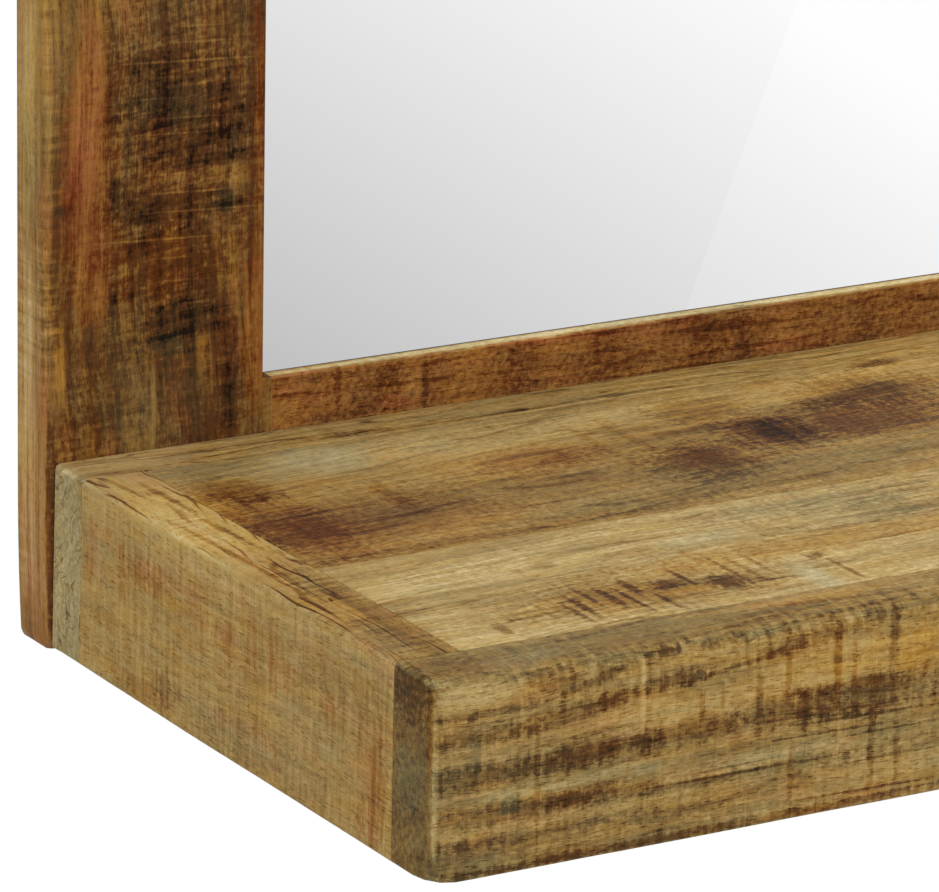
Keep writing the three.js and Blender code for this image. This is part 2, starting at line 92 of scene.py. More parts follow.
class Value:
    """A socket that carries a number, with arithmetic that adds Math nodes."""

    def __init__(self, graph: Graph, socket: bpy.types.NodeSocket) -> None:
        """Wraps a socket of a graph."""
        self.graph = graph
        self.socket = socket

    def _math(self, operation: str, *others: Value | float) -> Value:
        """Adds a Math node on this value and the others."""
        node = self.graph.node("ShaderNodeMath", {"operation": operation}, dict(enumerate((self, *others))))
        return Value(self.graph, node.outputs[0])

    def _flipped(self, operation: str, other: float) -> Value:
        """Adds a Math node whose first number is a constant."""
        node = self.graph.node("ShaderNodeMath", {"operation": operation}, {0: other, 1: self})
        return Value(self.graph, node.outputs[0])

    def __add__(self, other: Value | float) -> Value:
        """Sum."""
        return self._math("ADD", other)

    def __radd__(self, other: float) -> Value:
        """Sum with a constant in front."""
        return self._flipped("ADD", other)

    def __sub__(self, other: Value | float) -> Value:
        """Difference."""
        return self._math("SUBTRACT", other)

    def __rsub__(self, other: float) -> Value:
        """Difference from a constant."""
        return self._flipped("SUBTRACT", other)

    def __mul__(self, other: Value | float) -> Value:
        """Product."""
        return self._math("MULTIPLY", other)

    def __rmul__(self, other: float) -> Value:
        """Product with a constant in front."""
        return self._flipped("MULTIPLY", other)

    def __pow__(self, other: Value | float) -> Value:
        """Power."""
        return self._math("POWER", other)

    def swing(self) -> Value:
        """A noise's value about zero."""
        return self - NOISE_MEAN

    def sine(self) -> Value:
        """Sine of the value in radians."""
        return self._math("SINE")

    def least(self, other: Value | float) -> Value:
        """The smaller of two values."""
        return self._math("MINIMUM", other)

    def most(self, other: Value | float) -> Value:
        """The larger of two values."""
        return self._math("MAXIMUM", other)

    def held(self) -> Value:
        """The value, held between 0 and 1."""
        node = self.graph.node("ShaderNodeClamp", {}, {0: self})
        return Value(self.graph, node.outputs[0])

    def step(self, low: float, high: float) -> Value:
        """A smooth rise from 0 at low to 1 at high, or a fall where low is the larger.

        Args:
            low: The value that gives 0.
            high: The value that gives 1.

        Returns:
            The eased share between them.
        """
        first, last = (0.0, 1.0) if low < high else (1.0, 0.0)
        settings = {"interpolation_type": "SMOOTHSTEP"}
        inputs = {0: self, 1: min(low, high), 2: max(low, high), 3: first, 4: last}
        return Value(self.graph, self.graph.node("ShaderNodeMapRange", settings, inputs).outputs[0])


@dataclass
class Graph:
    """The node tree of one material, with one method that adds any node."""

    tree: bpy.types.NodeTree

    def node(self, kind: str, settings: dict[str, object], inputs: dict[int | str, object]) -> bpy.types.Node:
        """Adds a node.

        Args:
            kind: The node's type.
            settings: Its settings, made before its sockets are filled.
            inputs: What goes into each socket, by place or name: a Value, a socket or a constant.

        Returns:
            The node.
        """
        node = self.tree.nodes.new(kind)
        for name, setting in settings.items():
            if name == "stops":
                self._fill_ramp(node.color_ramp, setting)
            else:
                setattr(node, name, setting)
        for key, value in inputs.items():
            source = value.socket if isinstance(value, Value) else value
            if isinstance(source, bpy.types.NodeSocket):
                self.tree.links.new(source, node.inputs[key])
            else:
                node.inputs[key].default_value = source
        return node

    def _fill_ramp(self, ramp: bpy.types.ColorRamp, stops: Sequence[tuple[float, Colour]]) -> None:
        """Gives a ramp its stops.

        Args:
            ramp: The ramp, which starts with two.
            stops: Each stop's place between 0 and 1, and its colour.
        """
        while len(ramp.elements) < len(stops):
            ramp.elements.new(0.5)
        for element, (position, colour) in zip(ramp.elements, stops):
            element.position = position
            element.color = (*colour, 1.0)

    def place(self) -> bpy.types.NodeSocket:
        """The point being shaded, in millimetres in the row frame."""
        coordinates = self.node("ShaderNodeTexCoord", {}, {})
        return self.scaled(coordinates.outputs["Object"], (1 / MM, 1 / MM, 1 / MM))

    def scaled(self, vector: bpy.types.NodeSocket, by: Triple) -> bpy.types.NodeSocket:
        """The vector with each of its parts multiplied."""
        return self.node("ShaderNodeVectorMath", {"operation": "MULTIPLY"}, {0: vector, 1: by}).outputs[0]

    def moved(self, vector: bpy.types.NodeSocket, by: Triple | bpy.types.NodeSocket) -> bpy.types.NodeSocket:
        """The vector plus another."""
        return self.node("ShaderNodeVectorMath", {"operation": "ADD"}, {0: vector, 1: by}).outputs[0]

    def parts(self, vector: bpy.types.NodeSocket) -> tuple[Value, Value, Value]:
        """The vector's three parts as values."""
        node = self.node("ShaderNodeSeparateXYZ", {}, {0: vector})
        return tuple(Value(self, socket) for socket in node.outputs)

    def joined(self, x: Value | float, y: Value | float, z: Value | float) -> bpy.types.NodeSocket:
        """A vector of three values."""
        return self.node("ShaderNodeCombineXYZ", {}, {0: x, 1: y, 2: z}).outputs[0]

    def along(self, vector: bpy.types.NodeSocket, direction: Triple) -> Value:
        """How far the vector reaches along a direction."""
        node = self.node("ShaderNodeVectorMath", {"operation": "DOT_PRODUCT"}, {0: vector, 1: direction})
        return Value(self, node.outputs["Value"])

    def reach(self, vector: bpy.types.NodeSocket) -> Value:
        """The vector's length."""
        node = self.node("ShaderNodeVectorMath", {"operation": "LENGTH"}, {0: vector})
        return Value(self, node.outputs["Value"])

    def noise(self, vector: bpy.types.NodeSocket, size: Triple, detail: float = 2.0, roughness: float = 0.5,
              seed: float = 0.0) -> Value:
        """Soft noise whose cells have the given size.

        Args:
            vector: Where the noise is read, in millimetres.
            size: The cells' size along each axis, in millimetres.
            detail: How many finer octaves it holds.
            roughness: How strong those are.
            seed: Moves the whole pattern.

        Returns:
            A value around 0.5.
        """
        spread = tuple(1 / part for part in size)
        point = self.moved(self.scaled(vector, spread), (seed, seed * 1.7, seed * 0.6))
        inputs = {"Vector": point, "Scale": 1.0, "Detail": detail, "Roughness": roughness}
        node = self.node("ShaderNodeTexNoise", {"noise_dimensions": "3D"}, inputs)
        return Value(self, node.outputs[0])

    def mix(self, share: Value | float, first: object, second: object) -> bpy.types.NodeSocket:
        """Two colours mixed.

        Args:
            share: How much of the second shows.
            first: A colour or a socket.
            second: A colour or a socket.

        Returns:
            The mixed colour.
        """
        colours = [(*part, 1.0) if isinstance(part, tuple) else part for part in (first, second)]
        settings = {"data_type": "RGBA", "blend_type": "MIX", "clamp_factor": True}
        node = self.node("ShaderNodeMix", settings, {0: share, 6: colours[0], 7: colours[1]})
        return node.outputs[2]

    def bump(self, height: Value, depth: float) -> bpy.types.NodeSocket:
        """A normal that follows a height, where 1 stands `depth` millimetres above 0."""
        inputs = {"Strength": 1.0, "Distance": depth * MM, "Height": height}
        return self.node("ShaderNodeBump", {}, inputs).outputs[0]


def new_material(name: str) -> tuple[bpy.types.Material, Graph, bpy.types.Node]:
    """Starts a material.

    Args:
        name: Its name.

    Returns:
        The material, its graph and its shader node.
    """
    material = bpy.data.materials.new(name)
    material.use_nodes = True
    shader = material.node_tree.nodes["Principled BSDF"]
    return material, Graph(material.node_tree), shader


def linear(hex_code: str) -> Colour:
    """The linear colour of a code such as c9a878, as a screen shows it."""
    shares = (int(hex_code[at:at + 2], 16) / 255 for at in (0, 2, 4))
    return tuple(share / 12.92 if share <= 0.04045 else ((share + 0.055) / 1.055) ** 2.4 for share in shares)


# ---- Finishes -----------------------------------------------------------------------------------


@dataclass(frozen=True)
class Patch:
    """A place whose colour differs, in the wood or as painted light or shade: an ellipsoid in millimetres,
    with what it adds to the tone.
    """

    at: Triple
    reach: Triple
    tone: float
    warmth: float = 0.0
    turn: Triple = (0.0, 0.0, 0.0)
    redness: float = 0.0


@dataclass(frozen=True)
class Face:
    """One side of a board, on which patches are placed by two coordinates in millimetres."""

    normal: Axis
    level: float
    depth: float = 4.0

    def patches(self, *rows: tuple[float, ...]) -> tuple[Patch, ...]:
        """Places patches on the face.

        Args:
            rows: For each patch its middle along the two axes that the face holds, its half widths along
                them, what it adds to the tone, and where wanted what it adds to the warmth, its turn
                about the face's normal in degrees and what it adds to the redness.

        Returns:
            The patches.
        """
        return tuple(self._patch(*row) for row in rows)

    def _patch(self, across: float, along: float, wide: float, high: float, tone: float, warmth: float = 0.0,
               turn: float = 0.0, redness: float = 0.0) -> Patch:
        """Places one patch.

        Args:
            across: Its middle along the first axis that the face holds.
            along: Its middle along the second.
            wide: Its half width along the first axis.
            high: Its half width along the second.
            tone: What it adds to the tone.
            warmth: What it adds to the warmth.
            turn: Its turn about the face's normal, in degrees.
            redness: What it adds to the redness.

        Returns:
            The patch.
        """
        at, reach, turned = [across, along], [wide, high], [0.0, 0.0, 0.0]
        at.insert(self.normal.value, self.level)
        reach.insert(self.normal.value, self.depth)
        turned[self.normal.value] = math.radians(turn)
        return Patch(tuple(at), tuple(reach), tone, warmth, tuple(turned), redness)


@dataclass(frozen=True)
class Palette:
    """The colours of varnished mango wood, from deep to pale, where it is cool, warm and reddish."""

    stops: tuple[float, ...] = (0.0, 0.28, 0.56, 0.8, 1.0)
    cool: tuple[str, ...] = ("1d1710", "54472c", "8b7b50", "b8a77a", "dccfa6")
    warm: tuple[str, ...] = ("220e04", "643816", "a67932", "c8a458", "e8d094")
    red: tuple[str, ...] = ("240d06", "6e3418", "a9693f", "c89a74", "e6cbae")

    def colour(self, graph: Graph, tone: Value, warmth: Value, redness: Value) -> bpy.types.NodeSocket:
        """The colour at a tone, a warmth and a redness.

        Args:
            graph: The material's graph.
            tone: 0 for the deepest brown, 1 for cream.
            warmth: 0 for grey, 1 for orange.
            redness: 0 for none, 1 for rust.

        Returns:
            The colour.
        """
        ramps = []
        for row in (self.cool, self.warm, self.red):
            stops = tuple((stop, linear(code)) for stop, code in zip(self.stops, row))
            ramps.append(graph.node("ShaderNodeValToRGB", {"stops": stops}, {0: tone}).outputs[0])
        cool, warm, red = ramps
        return graph.mix(redness.held(), graph.mix(warmth.held(), cool, warm), red)


@dataclass(frozen=True)
class Figure:
    """How strongly each kind of mark shows in a board."""

    clouds: float = 0.35
    rings: float = 0.3
    streaks: float = 0.3
    fibres: float = 0.35
    slabs: float = 0.25
    hairs: float = 0.25
    crumbs: float = 0.3
    pores: float = 0.16
    wildness: float = 0.3
    comb: float = 0.9
    stroke: tuple[float, float] = (2.2, 34.0)
    lines: float = 0.14
    rust: float = 0.3


class Layer(Enum):
    """The wood's layers of noise: the cells' size in millimetres, octaves, their strength, and what sets the
    layer's seed apart. A size runs along, across and into the grain, or over the saw's strokes for the hairs.
    """

    SWAY = ((80.0, 45.0, 45.0), 1.0, 0.5, 3.1)
    RIPPLE = ((16.0, 7.0, 7.0), 1.0, 0.5, 7.7)
    CLOUDS = ((110.0, 26.0, 26.0), 1.0, 0.5, 11.0)
    FIBRES = ((6.5, 0.36, 0.36), 2.0, 0.6, 17.0)
    STREAKS = ((38.0, 1.5, 1.5), 2.0, 0.6, 23.0)
    PORES = ((2.8, 0.34, 0.34), 1.0, 0.5, 29.0)
    SAW_WANDER = ((45.0, 45.0, 45.0), 1.0, 0.5, 31.0)
    HAIRS = ((0.5, 14.0, 14.0), 1.0, 0.6, 41.0)
    CRUMBS = ((1.5, 1.5, 1.5), 3.0, 0.65, 43.0)
    TINT = ((14.0, 3.5, 3.5), 2.0, 0.6, 53.0)
    BLOTS = ((46.0, 15.0, 15.0), 1.0, 0.5, 61.0)
    RUST = ((26.0, 6.0, 6.0), 2.0, 0.6, 71.0)
    LINE_WANDER = ((55.0, 9.0, 9.0), 2.0, 0.55, 81.0)
    LINE_WAVER = ((9.0, 1.6, 1.6), 1.0, 0.5, 83.0)
    LINE_STRENGTH = ((34.0, 5.0, 5.0), 1.0, 0.5, 87.0)
    # Breaks up the worn edges and their painted highlight.
    WEAR = ((9.0, 9.0, 9.0), 2.0, 0.6, 91.0)


SLAB_SEED = 37.0
RING_LENGTH = 170.0  # along the grain, over which a ring keeps its strength
SWAY = (12.0, 6.0)  # how far the grain sways across and in depth
RIPPLE_REACH = 1.8
SAW_WANDER_REACH = 2.5
PATCH_CORE, PATCH_REACH = 0.4, 1.4  # where a patch is full and where it ends, as shares of its half width
MARK_DEPTH = 0.14  # of the deepest saw mark


@dataclass(frozen=True)
class WoodFinish:
    """Satin-varnished mango wood with its own figure.

    Lengths are in millimetres. Tone runs from 0, the deepest brown, to 1, cream; warmth from grey to orange;
    redness from none to rust. `saw` points across the saw's strokes. `known` is a direction and a level past
    which the photograph doesn't show the board. `lined_side` is the only side that shows growth lines.
    """

    name: str
    grain: Axis
    tone: float
    warmth: float
    seed: float
    redness: float = 0.0
    figure: Figure = Figure()
    saw: Triple | None = None
    patches: tuple[Patch, ...] = ()
    ring_pitch: float = 5.0
    slant: float = 0.0
    pith: tuple[float, float] = (60.0, -120.0)
    end_tone: float = -0.1
    # Rounded edges: what wear and a painted highlight add to the tone, and take from the warmth.
    edge_wear_and_highlight: float = 0.16
    edge_wear_and_highlight_chill: float = 0.4
    known: tuple[Triple, float] | None = None
    lined_side: Axis | None = None
    deepest: float = -0.42
    roughness: float = 0.52
    gloss: float = 0.03
    palette: Palette = Palette()

    def _grain_space(self, graph: Graph, place: bpy.types.NodeSocket) -> bpy.types.NodeSocket:
        """The place turned so that its first part runs along the grain, with the fibres' wander in it.

        Args:
            graph: The material's graph.
            place: The point being shaded.

        Returns:
            How far that point lies along, across and into the grain.
        """
        x, y, z = graph.parts(place)
        order = {Axis.X: (x, y, z), Axis.Y: (y, x, z), Axis.Z: (z, x, y)}[self.grain]
        straight = graph.joined(*order)
        along, across, deep = graph.parts(straight)
        sway = self._layer(graph, straight, Layer.SWAY).swing()
        ripple = self._layer(graph, straight, Layer.RIPPLE).swing()
        across = across + sway * SWAY[0] + ripple * RIPPLE_REACH - along * self.slant
        return graph.joined(along, across, deep + sway * SWAY[1])

    def _layer(self, graph: Graph, place: bpy.types.NodeSocket, layer: Layer) -> Value:
        """One layer of noise, read at a place."""
        size, detail, roughness, apart = layer.value
        return graph.noise(place, size, detail, roughness, self.seed + apart)

    def _saw_space(self, graph: Graph, place: bpy.types.NodeSocket) -> bpy.types.NodeSocket:
        """The place with its first part across the saw's strokes.

        Args:
            graph: The material's graph.
            place: The point being shaded.

        Returns:
            How far that point lies across the strokes, and then along two axes of the frame.
        """
        axes = [Vector((1.0, 0.0, 0.0)), Vector((0.0, 1.0, 0.0)), Vector((0.0, 0.0, 1.0))]
        first = Vector(self.saw).normalized() if self.saw else axes[self.grain.value]
        others = [axis for axis in axes if axis is not axes[self.grain.value]]
        wander = self._layer(graph, place, Layer.SAW_WANDER).swing() * SAW_WANDER_REACH
        run = graph.along(place, tuple(first)) + wander
        return graph.joined(run, *(graph.along(place, tuple(axis)) for axis in others))

    def material(self) -> bpy.types.Material:
        """Builds the material.

        Returns:
            The material.
        """
        material, graph, shader = new_material(self.name)
        place = graph.place()
        grain = self._grain_space(graph, place)
        saw = self._saw_space(graph, place)
        along, across, deep = graph.parts(grain)
        figure = self.figure

        radius = graph.reach(graph.joined(0.0, across - self.pith[0], deep - self.pith[1]))
        ring_cell = (RING_LENGTH, self.ring_pitch, 1.0)
        rings = graph.noise(graph.joined(along, radius, 0.0), ring_cell, 2.0, 0.6, self.seed)
        clouds = self._layer(graph, grain, Layer.CLOUDS).swing()
        streaks = self._layer(graph, grain, Layer.STREAKS).swing()
        fibres = self._layer(graph, grain, Layer.FIBRES)
        pitch, length = figure.stroke
        slabs = graph.noise(saw, (pitch, length, length), 2.0, 0.6, self.seed + SLAB_SEED)
        hairs = self._layer(graph, saw, Layer.HAIRS)
        crumbs = self._layer(graph, place, Layer.CRUMBS)
        pores = self._layer(graph, grain, Layer.PORES).step(0.6, 0.7)

        rag = slabs.swing() * figure.comb + crumbs.swing() * 1.1 + fibres.swing() * 0.7
        shift, warmth_shift, red_shift = graph.parts(self._patched(graph, place, rag))
        shift = shift.most(self.deepest)
        darkness = (0.0 - shift * 3.0).held()

        rings = rings.step(0.36, 0.64).swing()
        lines = self._growth_lines(graph, grain, radius)
        tone = self.tone + shift + clouds * figure.clouds + rings * figure.rings * 0.5
        tone = tone + streaks * figure.streaks + crumbs.swing() * figure.crumbs
        tone = tone + fibres.swing() * figure.fibres * (1.0 - darkness * 0.6)
        tone = tone + slabs.swing() * figure.slabs * (0.7 + darkness * 0.6)
        tone = tone + hairs.swing() * figure.hairs * (0.6 + darkness * 0.6)
        tone = tone - pores * figure.pores
        if figure.wildness:
            tone = tone - self._wild(graph, place, grain, rag) * figure.wildness
        # Rounded edges are lightened as wear and as a painted highlight, and cooled towards cream.
        edge, end, sides = self._worn_lit_edge_and_end(graph, place, crumbs)
        if self.lined_side is not None:
            lines = lines * sides[self.lined_side.value].step(0.5, 0.9)
        tone = tone + edge * self.edge_wear_and_highlight + end * self.end_tone - lines * figure.lines
        warm = self.warmth + warmth_shift + clouds * 0.6 + streaks * 0.5
        warm = warm + self._layer(graph, grain, Layer.TINT).swing() * 0.9
        warm = warm - edge * self.edge_wear_and_highlight_chill
        red = self._layer(graph, grain, Layer.RUST).step(0.5, 0.72) * figure.rust
        red = red + self.redness + red_shift + crumbs.swing() * figure.rust
        graph.tree.links.new(self.palette.colour(graph, tone.held(), warm, red), shader.inputs["Base Color"])

        rough = self.roughness + pores * 0.2 + crumbs.swing() * 0.25 + fibres.swing() * 0.2
        graph.tree.links.new(rough.held().socket, shader.inputs["Roughness"])
        height = fibres * 0.5 + hairs * figure.hairs + slabs * figure.slabs * 0.6 - pores * 0.5
        graph.tree.links.new(graph.bump(height, MARK_DEPTH), shader.inputs["Normal"])
        shader.inputs["Specular IOR Level"].default_value = self.gloss
        return material

    def _patched(self, graph: Graph, place: bpy.types.NodeSocket, rag: Value) -> bpy.types.NodeSocket:
        """The sum of what the patches add. It holds to vector maths, because the render has room for the
        many patches of one board only while no number has to be turned into a vector.

        Args:
            graph: The material's graph.
            place: The point being shaded.
            rag: What frays the patches' outlines.

        Returns:
            Tone, warmth and redness as three parts.
        """
        added = graph.joined(0.0, 0.0, 0.0)
        core, reach = PATCH_CORE - rag, PATCH_REACH - rag
        for patch in self.patches:
            spread = {0: self._depth_in(graph, place, patch), 1: core, 2: reach, 3: 1.0, 4: 0.0}
            mask = graph.node("ShaderNodeMapRange", {"interpolation_type": "SMOOTHSTEP"}, spread).outputs[0]
            share = {0: (patch.tone, patch.warmth, patch.redness), "Scale": mask}
            scaled = graph.node("ShaderNodeVectorMath", {"operation": "SCALE"}, share)
            added = graph.moved(added, scaled.outputs[0])
        return added

    def _depth_in(self, graph: Graph, place: bpy.types.NodeSocket, patch: Patch) -> Value:
        """How far a point lies from a patch's middle, as a share of the patch's reach.

        Args:
            graph: The material's graph.
            place: The point being shaded.
            patch: The patch.

        Returns:
            0 in the middle, 1 on the ellipsoid.
        """
        if not any(patch.turn):
            spread = tuple(1 / part for part in patch.reach)
            start = tuple(-part * share for part, share in zip(patch.at, spread))
            inputs = {0: place, 1: spread, 2: start}
            node = graph.node("ShaderNodeVectorMath", {"operation": "MULTIPLY_ADD"}, inputs)
            return graph.reach(node.outputs[0])
        centred = graph.moved(place, tuple(-part for part in patch.at))
        turned = Euler(patch.turn).to_matrix()
        shares = [graph.along(centred, tuple(turned.col[axis] / patch.reach[axis])) for axis in range(3)]
        return graph.reach(graph.joined(*shares))

    def _growth_lines(self, graph: Graph, grain: bpy.types.NodeSocket, radius: Value) -> Value:
        """Thin dark lines where a year's growth ends, strong in some places and lost in others.

        Args:
            graph: The material's graph.
            grain: The place in the grain.
            radius: Its distance from the pith.

        Returns:
            1 on a line, 0 between them.
        """
        wander = self._layer(graph, grain, Layer.LINE_WANDER) * 14.0
        waver = self._layer(graph, grain, Layer.LINE_WAVER) * 0.9
        phase = (radius + wander + waver) * (2 * math.pi / self.ring_pitch)
        strength = self._layer(graph, grain, Layer.LINE_STRENGTH).step(0.42, 0.66)
        return phase.sine().step(0.55, 0.98) * strength

    def _wild(self, graph: Graph, place: bpy.types.NodeSocket, grain: bpy.types.NodeSocket,
              rag: Value) -> Value:
        """Dark places left to chance, outside the part of the board whose figure is known.

        Args:
            graph: The material's graph.
            place: The point being shaded.
            grain: That place in the grain.
            rag: What frays their outlines.

        Returns:
            1 in a dark place, 0 outside.
        """
        blots = self._layer(graph, grain, Layer.BLOTS) - rag * 0.12
        mask = blots.step(0.5, 0.66)
        if self.known is not None:
            direction, level = self.known
            mask = mask * graph.along(place, direction).step(level, level + 18.0)
        return mask

    def _worn_lit_edge_and_end(self, graph: Graph, place: bpy.types.NodeSocket,
                      crumbs: Value) -> tuple[Value, Value, tuple[Value, ...]]:
        """Where the wood is a rounded edge, lightened as wear and as a painted highlight, and where it is end
        grain.

        Args:
            graph: The material's graph.
            place: The point being shaded.
            crumbs: The noise that breaks the wear up.

        Returns:
            The worn edge with its painted highlight, the end grain, and how far the surface faces along each
            axis.
        """
        normal = graph.node("ShaderNodeTexCoord", {}, {}).outputs["Normal"]
        facing = graph.node("ShaderNodeVectorMath", {"operation": "ABSOLUTE"}, {0: normal})
        sides = graph.parts(facing.outputs[0])
        worn = self._layer(graph, place, Layer.WEAR).step(0.34, 0.62)
        edge = sides[0].most(sides[1]).most(sides[2]).step(0.985, 0.8) * (0.2 + crumbs * 0.9 * worn)
        return edge, sides[self.grain.value].step(0.75, 0.95), sides


@dataclass(frozen=True)
class MirrorFinish:
    """Silvered glass whose colour paints a reflection: dimmer to the lower left, lighter past a screen's
    edge, shaded at its rim.
    """

    name: str = "mirror_with_painted_reflection"
    # The colour holds a painted reflection of the pale studio: dim at its lower left, rising across and up.
    dim: float = 0.527
    bright: float = 0.98
    dimmest: tuple[float, float] = (-185.0, -637.0)
    rise_across: float = 0.00159
    rise_up: float = 0.00257
    # A painted highlight past the edge of a studio screen's reflection.
    painted_screen_edge: tuple[Triple, float] = ((0.928, 0.0, -0.3725), 178.2)
    painted_screen_gain: float = 0.03
    # A painted shade line along the opening's rim.
    rim: float = 0.3
    rim_shade_colour: Colour = (0.12, 0.11, 0.1)

    def material(self, opening: tuple[float, float, float]) -> bpy.types.Material:
        """Builds the material.

        Args:
            opening: The half width, the foot and the top of the opening in front of the glass, in
                millimetres.

        Returns:
            The material.
        """
        material, graph, shader = new_material(self.name)
        place = graph.place()
        x, _, z = graph.parts(place)
        # Painted reflection: dimmer towards the lower left and lighter past a screen's edge.
        level = self.dim + (x - self.dimmest[0]) * self.rise_across + (z - self.dimmest[1]) * self.rise_up
        direction, distance = self.painted_screen_edge
        level = level + graph.along(place, direction).step(distance - 0.4, distance + 0.4) * self.painted_screen_gain
        level = level.least(self.bright).most(self.dim * 0.95)
        painted_studio_reflection = graph.joined(level, level, level)
        # Painted shade line along the rim of the opening.
        half, foot, top = opening
        inside = (half - (x * x) ** 0.5).least(z - foot).least(top - z)
        colour = graph.mix(inside.step(self.rim, self.rim * 0.6), painted_studio_reflection, self.rim_shade_colour)
        graph.tree.links.new(colour, shader.inputs["Base Color"])
        shader.inputs["Metallic"].default_value = 1.0
        shader.inputs["Roughness"].default_value = 0.0
        return material


@dataclass(frozen=True)
class SteelFinish:
    """Zinc-plated steel, a little mottled."""

    name: str
    colour: Colour
    roughness: float = 0.34
    dullest: float = 0.72

    def material(self) -> bpy.types.Material:
        """Builds the material.

        Returns:
            The material.
        """
        material, graph, shader = new_material(self.name)
        place = graph.place()
        spangle = graph.noise(place, (2.4, 2.4, 2.4), 3.0, 0.6, 5.0)
        fine = graph.noise(place, (0.25, 0.25, 0.25), 2.0, 0.5, 9.0)
        dull = tuple(part * self.dullest for part in self.colour)
        colour = graph.mix(spangle.step(0.35, 0.7), self.colour, dull)
        graph.tree.links.new(colour, shader.inputs["Base Color"])
        rough = self.roughness + spangle.swing() * 0.3 + fine.swing() * 0.12
        graph.tree.links.new(rough.held().socket, shader.inputs["Roughness"])
        graph.tree.links.new(graph.bump(fine, 0.02), shader.inputs["Normal"])
        shader.inputs["Metallic"].default_value = 1.0
        return material


@dataclass(frozen=True)
class HardboardFinish:
    """Pressed brown fibre with a woven back."""

    name: str = "hardboard"
    colour: Colour = (0.16, 0.075, 0.035)
    paler: float = 1.7
    weave_pitch: float = 1.6

    def material(self) -> bpy.types.Material:
        """Builds the material.

        Returns:
            The material.
        """
        material, graph, shader = new_material(self.name)
        place = graph.place()
        x, _, z = graph.parts(place)
        turn = 2 * math.pi / self.weave_pitch
        weave = (x * turn).sine() * (z * turn).sine()
        fibre = graph.noise(place, (1.2, 1.2, 1.2), 3.0, 0.7, 3.0)
        cloud = graph.noise(place, (90.0, 90.0, 90.0), 2.0, 0.5, 8.0)
        pale = tuple(part * self.paler for part in self.colour)
        colour = graph.mix((fibre * 0.6 + cloud * 0.5 - 0.1).held(), self.colour, pale)
        graph.tree.links.new(colour, shader.inputs["Base Color"])
        graph.tree.links.new(graph.bump(weave * 0.25 + fibre, 0.12), shader.inputs["Normal"])
        shader.inputs["Roughness"].default_value = 0.8
        return material


# ---- Modelling ----------------------------------------------------------------------------------


def deselect() -> None:
    """Leaves object mode and selects nothing."""
    if bpy.context.object is not None and bpy.context.object.mode != "OBJECT":
        bpy.ops.object.mode_set(mode="OBJECT")
    bpy.ops.object.select_all(action="DESELECT")


def work_on(piece: bpy.types.Object) -> None:
    """Makes a piece the only one selected, and active.

    Args:
        piece: The piece.
    """
    deselect()
    piece.select_set(True)
    bpy.context.view_layer.objects.active = piece


def settle(piece: bpy.types.Object) -> None:
    """Moves a piece's place, turn and scale into its mesh."""
    work_on(piece)
    bpy.ops.object.transform_apply(location=True, rotation=True, scale=True)


def add_block(name: str, low: Sequence[float], high: Sequence[float]) -> bpy.types.Object:
    """Adds a block between two corners.

    Args:
        name: The piece's name.
        low: The lowest corner, in metres.
        high: The highest corner.

    Returns:
        The block.
    """
    deselect()
    low, high = Vector(low), Vector(high)
    bpy.ops.mesh.primitive_cube_add(size=1.0, location=(low + high) / 2, scale=high - low)
    piece = bpy.context.object
    piece.name = name
    settle(piece)
    return piece


def apply_modifier(piece: bpy.types.Object, kind: str, **settings: object) -> None:
    """Adds a modifier and applies it.

    Args:
        piece: The piece.
        kind: The modifier's type.
        settings: Its settings.
    """
    work_on(piece)
    modifier = piece.modifiers.new(kind.lower(), kind)
    for name, setting in settings.items():
        setattr(modifier, name, setting)
    bpy.ops.object.modifier_apply(modifier=modifier.name)


def bevel_edges(piece: bpy.types.Object, radius_of: Callable[[Vector, Vector], float], segments: int) -> None:
    """Rounds a piece's edges, each by its own radius.

    Args:
        piece: The piece.
        radius_of: Gives an edge's radius from its two ends.
        segments: The number of facets in each rounding.
    """
    mesh = piece.data
    ends = [[mesh.vertices[index].co for index in edge.vertices] for edge in mesh.edges]
    radii = [radius_of(*pair) for pair in ends]
    largest = max(radii)
    weights = mesh.attributes.new("bevel_weight_edge", "FLOAT", "EDGE")
    for edge, radius in enumerate(radii):
        weights.data[edge].value = radius / largest
    apply_modifier(piece, "BEVEL", width=largest, segments=segments, limit_method="WEIGHT",
                   harden_normals=False)


def soften(piece: bpy.types.Object, width: float, degrees: float) -> None:
    """Eases the edges of a piece that are sharper than the angle."""
    apply_modifier(piece, "BEVEL", width=width, segments=2, limit_method="ANGLE",
                   angle_limit=math.radians(degrees))


def bisect(piece: bpy.types.Object, place: Triple, axis: Axis) -> None:
    """Cuts a piece's faces along a plane, and keeps both halves.

    Args:
        piece: The piece.
        place: A point of the plane.
        axis: The axis that it lies across.
    """
    work_on(piece)
    bpy.ops.object.mode_set(mode="EDIT")
    bpy.ops.mesh.select_all(action="SELECT")
    normal = tuple(float(axis is other) for other in Axis)
    bpy.ops.mesh.bisect(plane_co=place, plane_no=normal)
    bpy.ops.object.mode_set(mode="OBJECT")


STRAIGHT = 0.98  # the share of an edge's length that runs along an axis, where it counts as parallel
MOST_CUTS = 90


